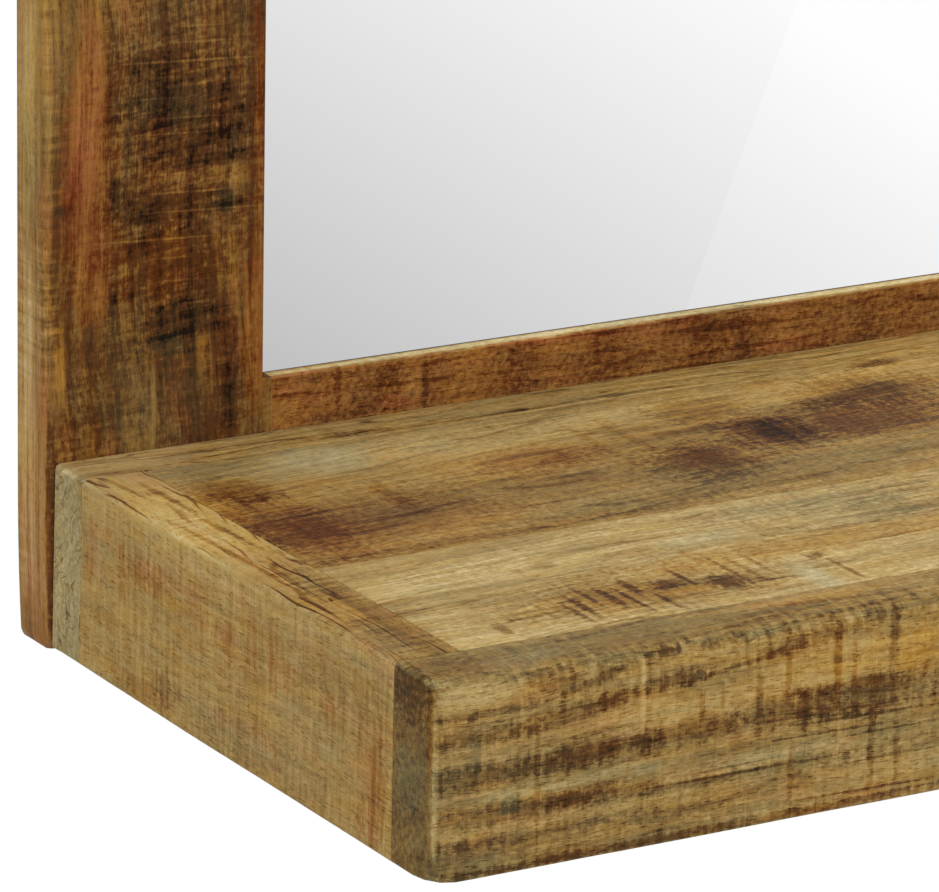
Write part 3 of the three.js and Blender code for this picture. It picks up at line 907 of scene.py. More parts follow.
def cut_cells(piece: bpy.types.Object, cell: float) -> None:
    """Cuts a block's long faces into cells, by subdividing parallel edges.

    Args:
        piece: The block.
        cell: The cells' length, which some pass by half.
    """
    for axis in Axis:
        while True:
            work_on(piece)
            mesh = piece.data
            spans = []
            for edge in mesh.edges:
                start, end = (mesh.vertices[index].co for index in edge.vertices)
                run = end - start
                straight = abs(run[axis.value]) > STRAIGHT * run.length
                spans.append(run.length if straight else 0.0)
            longest = max(spans)
            if longest <= cell * 1.5:
                break
            cuts = min(MOST_CUTS, math.ceil(longest / cell) - 1)
            for polygon in mesh.polygons:
                polygon.select = False
            for vertex in mesh.vertices:
                vertex.select = False
            for edge, span in zip(mesh.edges, spans):
                edge.select = span > 0.6 * longest
            bpy.context.tool_settings.mesh_select_mode = (False, True, False)
            bpy.ops.object.mode_set(mode="EDIT")
            bpy.ops.mesh.subdivide(number_cuts=cuts)
            bpy.ops.object.mode_set(mode="OBJECT")


def sculpt(piece: bpy.types.Object, push: Callable[[Vector, Vector], Vector]) -> None:
    """Moves each point of a piece.

    Args:
        piece: The piece.
        push: Gives a point's move from its place and its normal.
    """
    moves = [push(vertex.co.copy(), vertex.normal.copy()) for vertex in piece.data.vertices]
    for vertex, move in zip(piece.data.vertices, moves):
        vertex.co += move
    piece.data.update()


def copy_of(piece: bpy.types.Object, name: str) -> bpy.types.Object:
    """A copy of a piece with its own mesh.

    Args:
        piece: The piece.
        name: The copy's name.

    Returns:
        The copy.
    """
    twin = piece.copy()
    twin.data = piece.data.copy()
    twin.name = name
    bpy.context.scene.collection.objects.link(twin)
    return twin


def combine(piece: bpy.types.Object, tool: bpy.types.Object, operation: str) -> None:
    """Cuts or keeps what a tool covers, and leaves the tool as it is."""
    apply_modifier(piece, "BOOLEAN", object=tool, operation=operation, solver="EXACT")


def discard(*pieces: bpy.types.Object) -> None:
    """Takes tools and stock out of the scene."""
    for piece in pieces:
        bpy.data.objects.remove(piece)


def smooth(piece: bpy.types.Object, degrees: float = 35.0) -> None:
    """Shades a piece smooth, but for edges sharper than the angle."""
    work_on(piece)
    bpy.ops.object.shade_smooth_by_angle(angle=math.radians(degrees))


def dress(piece: bpy.types.Object, material: bpy.types.Material, body: str, slot: str, *nodes: str) -> None:
    """Gives a finished piece its material, its body and the nodes that it stands for.

    Args:
        piece: The piece.
        material: Its material.
        body: The body that it moves with.
        slot: Its material slot; not used.
        nodes: The solids that it replaces.
    """
    piece.data.materials.clear()
    piece.data.materials.append(material)
    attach(piece, body)
    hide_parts(*nodes)
    piece.visible_glossy = body != BODY
    LOG.info("%s: %d faces", piece.name, len(piece.data.polygons))


def refined(node: str, name: str) -> bpy.types.Object:
    """A copy of a solid with its points merged and its curves shaded smooth.

    Args:
        node: The solid's name.
        name: The copy's name.

    Returns:
        The copy.
    """
    piece = copy_of(bpy.data.objects[node], name)
    piece.parent = None
    for key in list(piece.keys()):
        del piece[key]
    work_on(piece)
    bpy.ops.object.mode_set(mode="EDIT")
    bpy.ops.mesh.select_all(action="SELECT")
    bpy.ops.mesh.remove_doubles(threshold=1e-6)
    bpy.ops.object.mode_set(mode="OBJECT")
    smooth(piece)
    return piece


def quads_of(piece: bpy.types.Object) -> bpy.types.Object:
    """Joins a piece's flat triangles, so that its edges can be eased.

    Args:
        piece: The piece.

    Returns:
        The same piece.
    """
    work_on(piece)
    bpy.ops.object.mode_set(mode="EDIT")
    bpy.ops.mesh.select_all(action="SELECT")
    bpy.ops.mesh.tris_convert_to_quads()
    bpy.ops.object.mode_set(mode="OBJECT")
    return piece


BODY = "mirror_and_shelf"
LEVEL = 1e-4  # metres: points closer than this lie level with each other
ROUNDING = 5  # facets in an edge's rounding


# ---- Screws -------------------------------------------------------------------------------------


@dataclass
class ScrewKind:
    """One kind of countersunk screw, turned once and driven wherever the solids have one.

    Shares are of the head's radius. `turn` is how far each screw stands turned from the last, in radians.
    """

    prefix: str
    shank_share: float
    rim: float
    points_down: bool = False
    sides: int = 28
    tip: float = 3.0 * MM
    recess_share: float = 0.55
    recess_width: float = 0.15
    recess_depth: float = 1.2 * MM
    recess_taper: float = 0.45
    tip_share: float = 0.12
    softness: float = 0.09 * MM
    fit: float = 0.25 * MM
    turn: float = 2.4

    def build(self, names: Sequence[str], material: bpy.types.Material) -> None:
        """Makes the screw and sets a copy in each place.

        Args:
            names: All the solids' names.
            material: The steel.
        """
        places = [name for name in names if name.startswith(self.prefix)]
        length, radius = self._size(places[0])
        stock = self._turned(length, radius)
        for count, node in enumerate(places):
            screw = copy_of(stock, f"{node}_driven")
            screw.rotation_euler = (0.0, count * self.turn, 0.0)
            settle(screw)
            screw.rotation_euler = (math.radians(-90) if self.points_down else 0.0, 0.0, 0.0)
            screw.location = self._face(node)
            settle(screw)
            smooth(screw)
            dress(screw, material, BODY, "screw_steel", node)
        discard(stock)

    def sink(self, node: str) -> bpy.types.Object:
        """A cutter for the countersink in which a screw's head lies.

        Args:
            node: The screw's solid.

        Returns:
            The cutter.
        """
        _, radius = self._size(node)
        shank = radius * self.shank_share
        depth = radius - shank + self.rim + self.fit
        deselect()
        bpy.ops.mesh.primitive_cone_add(
            vertices=self.sides, radius1=shank + self.fit, radius2=radius + self.fit, depth=depth)
        tool = bpy.context.object
        tool.rotation_euler = (math.radians(180 if self.points_down else -90), 0.0, 0.0)
        inwards = Vector((0.0, 0.0, 1.0)) if self.points_down else Vector((0.0, -1.0, 0.0))
        tool.location = self._face(node) + inwards * (depth / 2 - self.fit / 4)
        settle(tool)
        return tool

    def _size(self, node: str) -> tuple[float, float]:
        """Measures a screw.

        Args:
            node: The screw's solid.

        Returns:
            Its length and its head's radius.
        """
        low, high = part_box(node)
        size = high - low
        return (size.z if self.points_down else size.y), size.x / 2

    def _face(self, node: str) -> Vector:
        """Finds a screw's head.

        Args:
            node: The screw's solid.

        Returns:
            The middle of the head's face.
        """
        low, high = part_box(node)
        middle = (low + high) / 2
        if self.points_down:
            return Vector((middle.x, middle.y, low.z))
        return Vector((middle.x, high.y, middle.z))

    def _turned(self, length: float, radius: float) -> bpy.types.Object:
        """Turns the screw on the Y axis, its head's face at the origin.

        Args:
            length: The whole length.
            radius: The head's radius.

        Returns:
            The screw.
        """
        deselect()
        turn = (math.radians(-90), 0.0, 0.0)
        bpy.ops.mesh.primitive_circle_add(vertices=self.sides, radius=radius, fill_type="NGON", rotation=turn)
        screw = bpy.context.object
        screw.name = f"{self.prefix}_stock"
        settle(screw)
        work_on(screw)
        shank = radius * self.shank_share
        steps = (
            (self.rim, 1.0),
            (radius - shank, self.shank_share),
            (length - self.rim - (radius - shank) - self.tip, 1.0),
            (self.tip, self.tip_share),
        )
        bpy.ops.object.mode_set(mode="EDIT")
        bpy.ops.mesh.select_all(action="SELECT")
        for drop, share in steps:
            bpy.ops.mesh.extrude_region_move(TRANSFORM_OT_translate={"value": (0.0, -drop, 0.0)})
            bpy.ops.transform.resize(value=(share, 1.0, share), center_override=(0.0, 0.0, 0.0))
        bpy.ops.mesh.select_all(action="SELECT")
        bpy.ops.mesh.normals_make_consistent(inside=False)
        bpy.ops.object.mode_set(mode="OBJECT")
        for long, wide in ((self.recess_share, self.recess_width), (self.recess_width, self.recess_share)):
            wedge = self._wedge(radius * long, radius * wide)
            combine(screw, wedge, "DIFFERENCE")
            discard(wedge)
        soften(screw, self.softness, 35.0)
        return screw

    def _wedge(self, long: float, wide: float) -> bpy.types.Object:
        """One bar of the cross recess, narrowing with its depth.

        Args:
            long: Half its length.
            wide: Half its width.

        Returns:
            The bar, as a cutter.
        """
        wedge = add_block("wedge", (-long, -self.recess_depth, -wide), (long, self.recess_depth, wide))

        def push(point: Vector, _: Vector) -> Vector:
            """Draws the bar's foot in."""
            return Vector((-point.x, 0.0, -point.z)) * (self.recess_taper if point.y <= 0.0 else 0.0)

        sculpt(wedge, push)
        return wedge


SHELF_SCREW = ScrewKind("shelf_screw", shank_share=0.5, rim=0.4 * MM)
CLEAT_SCREW = ScrewKind("cleat_screw", shank_share=0.514, rim=0.4 * MM, points_down=True)
BACKING_SCREW = ScrewKind("backing_screw", shank_share=0.519, rim=0.3 * MM, tip=2.0 * MM,
                          recess_depth=0.9 * MM)
HANGER_SCREW = ScrewKind("hanger_screw", shank_share=0.533, rim=0.3 * MM, tip=2.5 * MM)


# ---- Frame --------------------------------------------------------------------------------------


@dataclass
class Frame:
    """The four boards round the mirror, cut from one slab that was sanded round.

    The slab leans in towards its ends, over `lean_reach`. The opening is cut `opening_trim` into the stiles.
    """

    finishes: dict[str, WoodFinish]
    screws: Sequence[str]
    edge_radius: float = 1.6 * MM
    corner_radius: float = 4.0 * MM
    foot_radius: float = 6.5 * MM
    lean: float = 1.0 * MM
    lean_reach: float = 40.0 * MM
    lean_power: float = 2.2
    lean_cuts: tuple[float, ...] = (0.12, 0.18, 0.25, 0.34, 0.44, 0.55, 0.68, 0.82, 0.98)
    opening_trim: float = 2.5 * MM
    opening_radius: float = 0.45 * MM
    glue_line: float = 0.02 * MM
    overrun: float = 1.0 * MM
    slots: dict[str, str] = field(default_factory=lambda: {
        "left_stile": "stile_wood",
        "right_stile": "stile_wood",
        "top_rail": "rail_wood",
        "bottom_rail": "rail_wood",
    })

    def build(self) -> None:
        """Models and dresses the four boards."""
        slab = self._slab()
        tools = self._tools() + [SHELF_SCREW.sink(node) for node in self.screws]
        for node, slot in self.slots.items():
            low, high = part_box(node)
            board = copy_of(slab, f"{node}_board")
            keep = add_block("keep", *self._keep(node, low, high))
            combine(board, keep, "INTERSECT")
            for tool in tools:
                combine(board, tool, "DIFFERENCE")
            smooth(board)
            dress(board, self.finishes[node].material(), BODY, slot, node)
            discard(keep)
        discard(slab, *tools)

    def _keep(self, node: str, low: Vector, high: Vector) -> tuple[Vector, Vector]:
        """The box that holds a board, standing out of the slab on its outer sides.

        Args:
            node: The board's solid.
            low: The solid's lowest corner.
            high: Its highest corner.

        Returns:
            The box's two corners.
        """
        spare = Vector((self.overrun, self.overrun, self.overrun))
        low, high = low - spare, high + spare
        if node.endswith("rail"):
            joint = -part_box("left_stile")[1].x
            low.x, high.x = -joint + self.glue_line, joint - self.glue_line
        elif node.startswith("left"):
            high.x -= self.overrun
        else:
            low.x += self.overrun
        return low, high

    def _slab(self) -> bpy.types.Object:
        """The frame as one slab, its edges softened and its corners leaning in towards their ends.

        Returns:
            The slab.
        """
        low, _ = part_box("left_stile")
        _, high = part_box("right_stile")
        slab = add_block("frame_slab", low, high)

        def radius_of(start: Vector, end: Vector) -> float:
            """The rounding of an edge.

            Args:
                start: One end.
                end: The other end.

            Returns:
                The radius.
            """
            if abs(start.y - end.y) > LEVEL:
                return self.corner_radius
            at_foot = max(start.z, end.z) < low.z + LEVEL and max(start.y, end.y) < low.y + LEVEL
            return self.foot_radius if at_foot else self.edge_radius

        bevel_edges(slab, radius_of, ROUNDING)
        for share in self.lean_cuts:
            for level in (low.z + share * self.lean_reach, high.z - share * self.lean_reach):
                bisect(slab, (0.0, 0.0, level), Axis.Z)
        half = (high.x - low.x) / 2

        def push(point: Vector, _: Vector) -> Vector:
            """Leans a point in.

            Args:
                point: The point.

            Returns:
                Its move.
            """
            away = min(point.z - low.z, high.z - point.z)
            share = max(0.0, 1.0 - away / self.lean_reach) ** self.lean_power
            return Vector((-point.x * self.lean * share / half, 0.0, 0.0))

        sculpt(slab, push)
        return slab

    def _tools(self) -> list[bpy.types.Object]:
        """Makes the cutters of the opening and of the two recesses behind it.

        Returns:
            The cutters.
        """
        glass_low, glass_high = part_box("mirror_glass")
        back_low, back_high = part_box("backing_board")
        stile_low, stile_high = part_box("left_stile")
        _, rail_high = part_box("bottom_rail")
        top_low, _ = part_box("top_rail")
        half = -stile_high.x + self.opening_trim
        play = Vector((self.overrun, 0.0, self.overrun))
        behind = self.overrun
        glass_high = Vector((glass_high.x, behind, glass_high.z))
        back_high = Vector((back_high.x, behind, back_high.z))
        return [
            add_block("opening", (-half, stile_low.y - behind, rail_high.z), (half, behind, top_low.z)),
            self._flare(half, rail_high.z, top_low.z, stile_low.y),
            add_block("glass_recess", glass_low - play, glass_high + play),
            add_block("back_recess", back_low - play, back_high + play),
        ]

    def _flare(self, half: float, low: float, high: float, front: float) -> bpy.types.Object:
        """A cutter whose front is widened, so that it eases the opening's front edge.

        Args:
            half: The opening's half width.
            low: Its foot.
            high: Its top.
            front: The frame's front.

        Returns:
            The cutter.
        """
        ease = self.opening_radius
        flare = add_block("flare", (-half, front - ease, low), (half, front + ease, high))
        middle = (low + high) / 2
        for vertex in flare.data.vertices:
            if vertex.co.y < front:
                vertex.co.x += math.copysign(2 * ease, vertex.co.x)
                vertex.co.z += math.copysign(2 * ease, vertex.co.z - middle)
        return flare


# ---- Shelf --------------------------------------------------------------------------------------


@dataclass
class Shelf:
    """The box shelf's boards, cut from one block that was sanded by hand.

    The front's upper edge is worn off by up to `wear`, in waves, and its corners by `corner_wear`. Towards
    the frame the block's foot rises by `back_rise` and its sides spread by `back_spread`.
    """

    finishes: dict[str, WoodFinish]
    screws: Sequence[str]
    front_top_radius: float = 3.2 * MM
    side_top_radius: float = 1.9 * MM
    edge_radius: float = 1.4 * MM
    back_radius: float = 1.0 * MM
    back_corner_radius: float = 1.7 * MM
    back_rise: float = 1.0 * MM
    back_spread: float = 0.9 * MM
    back_reach: float = 70.0 * MM
    cell: float = 4.0 * MM
    sway: float = 0.3 * MM
    wear: float = 2.1 * MM
    wear_reach: float = 10.0 * MM
    corner_wear: float = 2.2 * MM
    corner_reach: float = 9.0 * MM
    joint_radius: float = 0.22 * MM
    overrun: float = 1.0 * MM
    outer: float = 0.3 * MM
    still: float = 2.0 * MM
    wear_way: Triple = (0.0, 0.6, -0.8)
    slots: dict[str, str] = field(default_factory=lambda: {
        "shelf_front_board": "shelf_board_wood",
        "shelf_back_board": "shelf_board_wood",
        "shelf_left_end": "shelf_end_wood",
        "shelf_right_end": "shelf_end_wood",
        "shelf_rear_plank": "stained_plank_wood",
        "shelf_front_plank": "pale_plank_wood",
        "shelf_cleat_left": "raw_wood",
        "shelf_cleat_right": "raw_wood",
    })

    def build(self) -> None:
        """Models and dresses the boards, planks and cleats."""
        block = self._block()
        for node, slot in self.slots.items():
            board = copy_of(block, f"{node}_board")
            keep = add_block("keep", *self._keep(node))
            combine(board, keep, "INTERSECT")
            discard(keep)
            soften(board, self.joint_radius, 60.0)
            for screw in self.screws if "cleat" in node else ():
                sink = CLEAT_SCREW.sink(screw)
                combine(board, sink, "DIFFERENCE")
                discard(sink)
            smooth(board)
            dress(board, self.finishes[node].material(), BODY, slot, node)
        discard(block)

    def _reach(self) -> tuple[Vector, Vector]:
        """Measures the shelf.

        Returns:
            Its box's two corners.
        """
        boxes = [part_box(node) for node in ("shelf_front_board", "shelf_back_board")]
        low = Vector(min(box[0][axis] for box in boxes) for axis in range(3))
        high = Vector(max(box[1][axis] for box in boxes) for axis in range(3))
        return low, high

    def _keep(self, node: str) -> tuple[Vector, Vector]:
        """The box that holds a board, standing out of the block on its outer sides.

        Args:
            node: The board's solid.

        Returns:
            The box's two corners.
        """
        low, high = (Vector(corner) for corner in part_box(node))
        outer_low, outer_high = self._reach()
        for axis in range(3):
            if low[axis] < outer_low[axis] + self.outer:
                low[axis] -= self.overrun
            if high[axis] > outer_high[axis] - self.outer:
                high[axis] += self.overrun
        return low, high

    def _block(self) -> bpy.types.Object:
        """The whole shelf as one block, its edges rounded and then worn unevenly.

        Returns:
            The block.
        """
        low, high = self._reach()
        block = add_block("shelf_block", low, high)

        def radius_of(start: Vector, end: Vector) -> float:
            """The rounding of an edge.

            Args:
                start: One end.
                end: The other end.

            Returns:
                The radius.
            """
            if min(start.y, end.y) > high.y - LEVEL:
                return self.back_corner_radius if abs(start.z - end.z) > LEVEL else self.back_radius
            if min(start.z, end.z) < high.z - LEVEL:
                return self.edge_radius
            return self.front_top_radius if max(start.y, end.y) < low.y + LEVEL else self.side_top_radius

        bevel_edges(block, radius_of, ROUNDING)
        cut_cells(block, self.cell)
        corners = [Vector(corner) for corner in product(*zip(low, high))]
        middle = (low + high) / 2

        def push(point: Vector, normal: Vector) -> Vector:
            """Sands a point off, wears the front's edge and corners, and spreads the back.

            Args:
                point: The point.
                normal: Where it faces.

            Returns:
                Its move.
            """
            at_back = point.y > high.y - self.still
            move = Vector() if at_back else -normal * self._sanded(point)
            away = math.hypot(point.y - low.y, point.z - high.z)
            share = max(0.0, 1.0 - away / self.wear_reach) ** 2
            move += Vector(self.wear_way) * self.wear * share * self._worn(point.x)
            corner = min(corners, key=lambda place: (place - point).length)
            if corner.y < middle.y:
                share = max(0.0, 1.0 - (corner - point).length / self.corner_reach) ** 2
                move += (middle - corner).normalized() * math.sqrt(3) * self.corner_wear * share
            lowness = (high.z - point.z) / (high.z - low.z)
            nearness = max(0.0, 1.0 - (high.y - point.y) / self.back_reach) * lowness
            move.z += self.back_rise * nearness
            move.x += self.back_spread * nearness * point.x / high.x
            return move

        sculpt(block, push)
        return block

    def _sanded(self, point: Vector) -> float:
        """How deep hand sanding went, in slow clouds and quicker ripples.

        Args:
            point: A point of the block.

        Returns:
            The depth.
        """
        cloud = noise.noise(point / (38 * MM)) * 0.5 + 0.5
        ripple = noise.noise(point / (13 * MM) + Vector((7.0, 3.0, 1.0))) * 0.5 + 0.5
        return self.sway * (0.7 * cloud + 0.3 * ripple)

    def _worn(self, x: float) -> float:
        """How strongly the front's upper edge is worn.

        Args:
            x: A place along it.

        Returns:
            0 where it isn't, 1 where it mostly is.
        """
        wave = noise.noise(Vector((x / (26 * MM), 0.3, 0.7)))
        wave += 0.5 * noise.noise(Vector((x / (9 * MM), 2.3, 0.7)))
        return max(0.0, 0.5 + 0.7 * wave)


# ---- Mirror and backing -------------------------------------------------------------------------


@dataclass
class Mirror:
    """The silvered glass and the hardboard behind it, as the solids have them."""

    finish: MirrorFinish = MirrorFinish()
    backing: HardboardFinish = HardboardFinish()
    opening_trim: float = 2.5 * MM

    def build(self, nodes: dict[str, bpy.types.Object]) -> None:
        """Dresses the glass and its backing.

        Args:
            nodes: The solids by name.
        """
        half = -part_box("left_stile")[1].x + self.opening_trim
        opening = (half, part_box("bottom_rail")[1].z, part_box("top_rail")[0].z)
        in_mm = tuple(part / MM for part in opening)
        for node, material in (("mirror_glass", self.finish.material(in_mm)),
                               ("backing_board", self.backing.material())):
            mesh = nodes[node].data
            mesh.materials.clear()
            mesh.materials.append(material)
            LOG.info("%s dressed", node)


# ---- Hardware -----------------------------------------------------------------------------------


@dataclass
class Hardware:
    """The screws, dowels, straps and rings."""

    plated: SteelFinish
    yellow: SteelFinish
    raw: WoodFinish
    fold_softness: float = 0.16 * MM

    def build(self, nodes: dict[str, bpy.types.Object]) -> None:
        """Models and dresses the small parts.

        Args:
            nodes: The solids by name.
        """
        names = sorted(nodes)
        yellow = self.yellow.material()
        for kind in (SHELF_SCREW, CLEAT_SCREW, BACKING_SCREW, HANGER_SCREW):
            kind.build(names, yellow)
        raw = self.raw.material()
        for name in names:
            if "dowel" in name:
                nodes[name].data.materials.clear()
                nodes[name].data.materials.append(raw)
        plated = self.plated.material()
        for side in ("left", "right"):
            self._strap(f"hanger_strap_{side}", plated)
            self._ring(f"hanger_ring_{side}", f"ring_{side}", plated)

    def _strap(self, node: str, material: bpy.types.Material) -> None:
        """Makes a folded strap, its cut edges softened as tumbling leaves them.

        Args:
            node: The strap's solid.
            material: The steel.
        """
        strap = quads_of(refined(node, f"{node}_folded"))
        soften(strap, self.fold_softness, 50.0)
        smooth(strap)
        dress(strap, material, BODY, "strap_steel", node)

    def _ring(self, node: str, body: str, material: bpy.types.Material) -> None:
        """Makes a ring of bent wire, round and without facets.

        Args:
            node: The ring's solid.
            body: The body that it moves with.
            material: The steel.
        """
        ring = quads_of(refined(node, f"{node}_bent"))
        apply_modifier(ring, "SUBSURF", levels=2, render_levels=2)
        smooth(ring, 60.0)
        dress(ring, material, body, "ring_steel", node)


# ---- Studio -------------------------------------------------------------------------------------


@dataclass
class Studio:
    """Floor, light and the camera that takes the photograph's view.

    A lamp has a name, its offset from the point looked at, its diameter in metres and its power in watts.
    """

    frame_size: tuple[int, int] = (939, 892)
    azimuth: float = -30.741
    elevation: float = 17.104
    roll: float = 1.078
    distance: float = 1635.4 * MM
    focal_pixels: float = 6648.5
    aim: Triple = (-147.01 * MM, -43.25 * MM, -655.86 * MM)
    sensor: float = 36.0
    far: float = 50.0
    floor_level: float = -1.9
    floor_size: float = 60.0
    floor_colour: Colour = (0.9, 0.9, 0.9)
    floor_glow: float = 1.06
    floor_cover: float = 0.9
    sky_light: float = 0.55
    lamps: tuple[tuple[str, Triple, float, float], ...] = (
        ("key", (-1.2, -2.2, 2.4), 1.8, 58.0),
        ("fill", (2.6, -1.8, 0.8), 2.2, 16.0),
    )

    def build(self) -> None:
        """Sets the floor, the lamps, the world and the camera."""
        self._camera()
        self._floor()
        self._world()
        self._lamps()
        bpy.context.scene.view_settings.view_transform = "Standard"

    def _camera(self) -> None:
        """Places the camera by its angles about the point that it looks at."""
        azimuth, elevation, roll = (math.radians(a) for a in (self.azimuth, self.elevation, self.roll))
        back = Vector((math.sin(azimuth) * math.cos(elevation), -math.cos(azimuth) * math.cos(elevation),
                       math.sin(elevation)))
        right = Vector((math.cos(azimuth), math.sin(azimuth), 0.0))
        up = back.cross(right)
        turned_right = math.cos(roll) * right + math.sin(roll) * up
        turned_up = math.cos(roll) * up - math.sin(roll) * right
        place = Vector(self.aim) + back * self.distance
        data = bpy.data.cameras.new("camera")
        data.sensor_width = self.sensor
        data.lens = self.focal_pixels * self.sensor / self.frame_size[0]
        data.clip_end = self.far
        camera = bpy.data.objects.new("camera", data)
        turn = Matrix((turned_right, turned_up, back)).transposed().to_4x4()
        camera.matrix_world = Matrix.Translation(place) @ turn
        bpy.context.scene.collection.objects.link(camera)
        bpy.context.scene.camera = camera

    def _seen(self, graph: Graph) -> Value:
        """Where a ray comes from the camera, a reflection or through glass, and no light is measured.

        Args:
            graph: The graph that asks.

        Returns:
            1 there, 0 for light.
        """
        path = graph.node("ShaderNodeLightPath", {}, {})
        seen = Value(graph, path.outputs["Is Camera Ray"]) + Value(graph, path.outputs["Is Glossy Ray"])
        return (seen + Value(graph, path.outputs["Is Transmission Ray"])).held()

    def _floor(self) -> None:
        """A wide pale floor under the hanging mirror, white to the camera where no shadow lies."""
        deselect()
        bpy.ops.mesh.primitive_plane_add(size=self.floor_size, location=(0, 0, self.floor_level))
        floor = bpy.context.object
        floor.name = "floor"
        settle(floor)
        material, graph, shader = new_material("floor_white")
        shader.inputs["Base Color"].default_value = (*self.floor_colour, 1.0)
        shader.inputs["Roughness"].default_value = 0.9
        seen = self._seen(graph)
        white = {"Color": (1, 1, 1, 1), "Strength": self.floor_glow}
        glow = graph.node("ShaderNodeEmission", {}, white)
        shares = {0: seen * self.floor_cover, 1: shader.outputs[0], 2: glow.outputs[0]}
        both = graph.node("ShaderNodeMixShader", {}, shares)
        output = material.node_tree.nodes["Material Output"]
        graph.tree.links.new(both.outputs[0], output.inputs[0])
        floor.data.materials.append(material)

    def _world(self) -> None:
        """An even sky that is white to the eye and softer as light."""
        world = bpy.data.worlds.new("studio")
        world.use_nodes = True
        graph = Graph(world.node_tree)
        background = world.node_tree.nodes["Background"]
        strength = self.sky_light + self._seen(graph) * (1.0 - self.sky_light)
        graph.tree.links.new(strength.socket, background.inputs["Strength"])
        background.inputs["Color"].default_value = (1, 1, 1, 1)
        bpy.context.scene.world = world

    def _lamps(self) -> None:
        """A large soft lamp high in front to the left, and a weaker one to the right."""
        for name, offset, size, power in self.lamps:
            data = bpy.data.lights.new(name, "AREA")
            data.shape = "DISK"
            data.size = size
            data.energy = power
            lamp = bpy.data.objects.new(name, data)
            lamp.location = Vector(self.aim) + Vector(offset)
            lamp.rotation_euler = (-Vector(offset)).to_track_quat("-Z", "Y").to_euler()
            bpy.context.scene.collection.objects.link(lamp)


# ---- The boards' own finishes -------------------------------------------------------------------

# Rows hold: across, along, half width, half height, tone, and where wanted warmth, turn and redness.

FRAME_FRONT = Face(Axis.Y, -16.0)
RAIL_LIP = Face(Axis.Z, -640.0, 0.7)
STILE_SIDE = Face(Axis.X, -250.0)
SHELF_TOP = Face(Axis.Z, -653.5, 3.0)
SHELF_FRONT = Face(Axis.Y, -200.0, 3.0)
SHELF_LEFT = Face(Axis.X, -248.0, 3.0)
SHELF_TOP_SEEN = ((1.0, -0.668, 0.0), 20.0)  # the photograph's right edge, across the shelf's top


def scratch(level: float) -> tuple[float, ...]:
    """A pale scratch across the stile, its place, length and strength varied by its level."""
    across = -212 + 7 * math.sin(2.7 * level)
    return across, level, 11 + 6 * math.sin(level), 0.3, 0.12 + 0.04 * math.sin(level), 0.0, 3.0


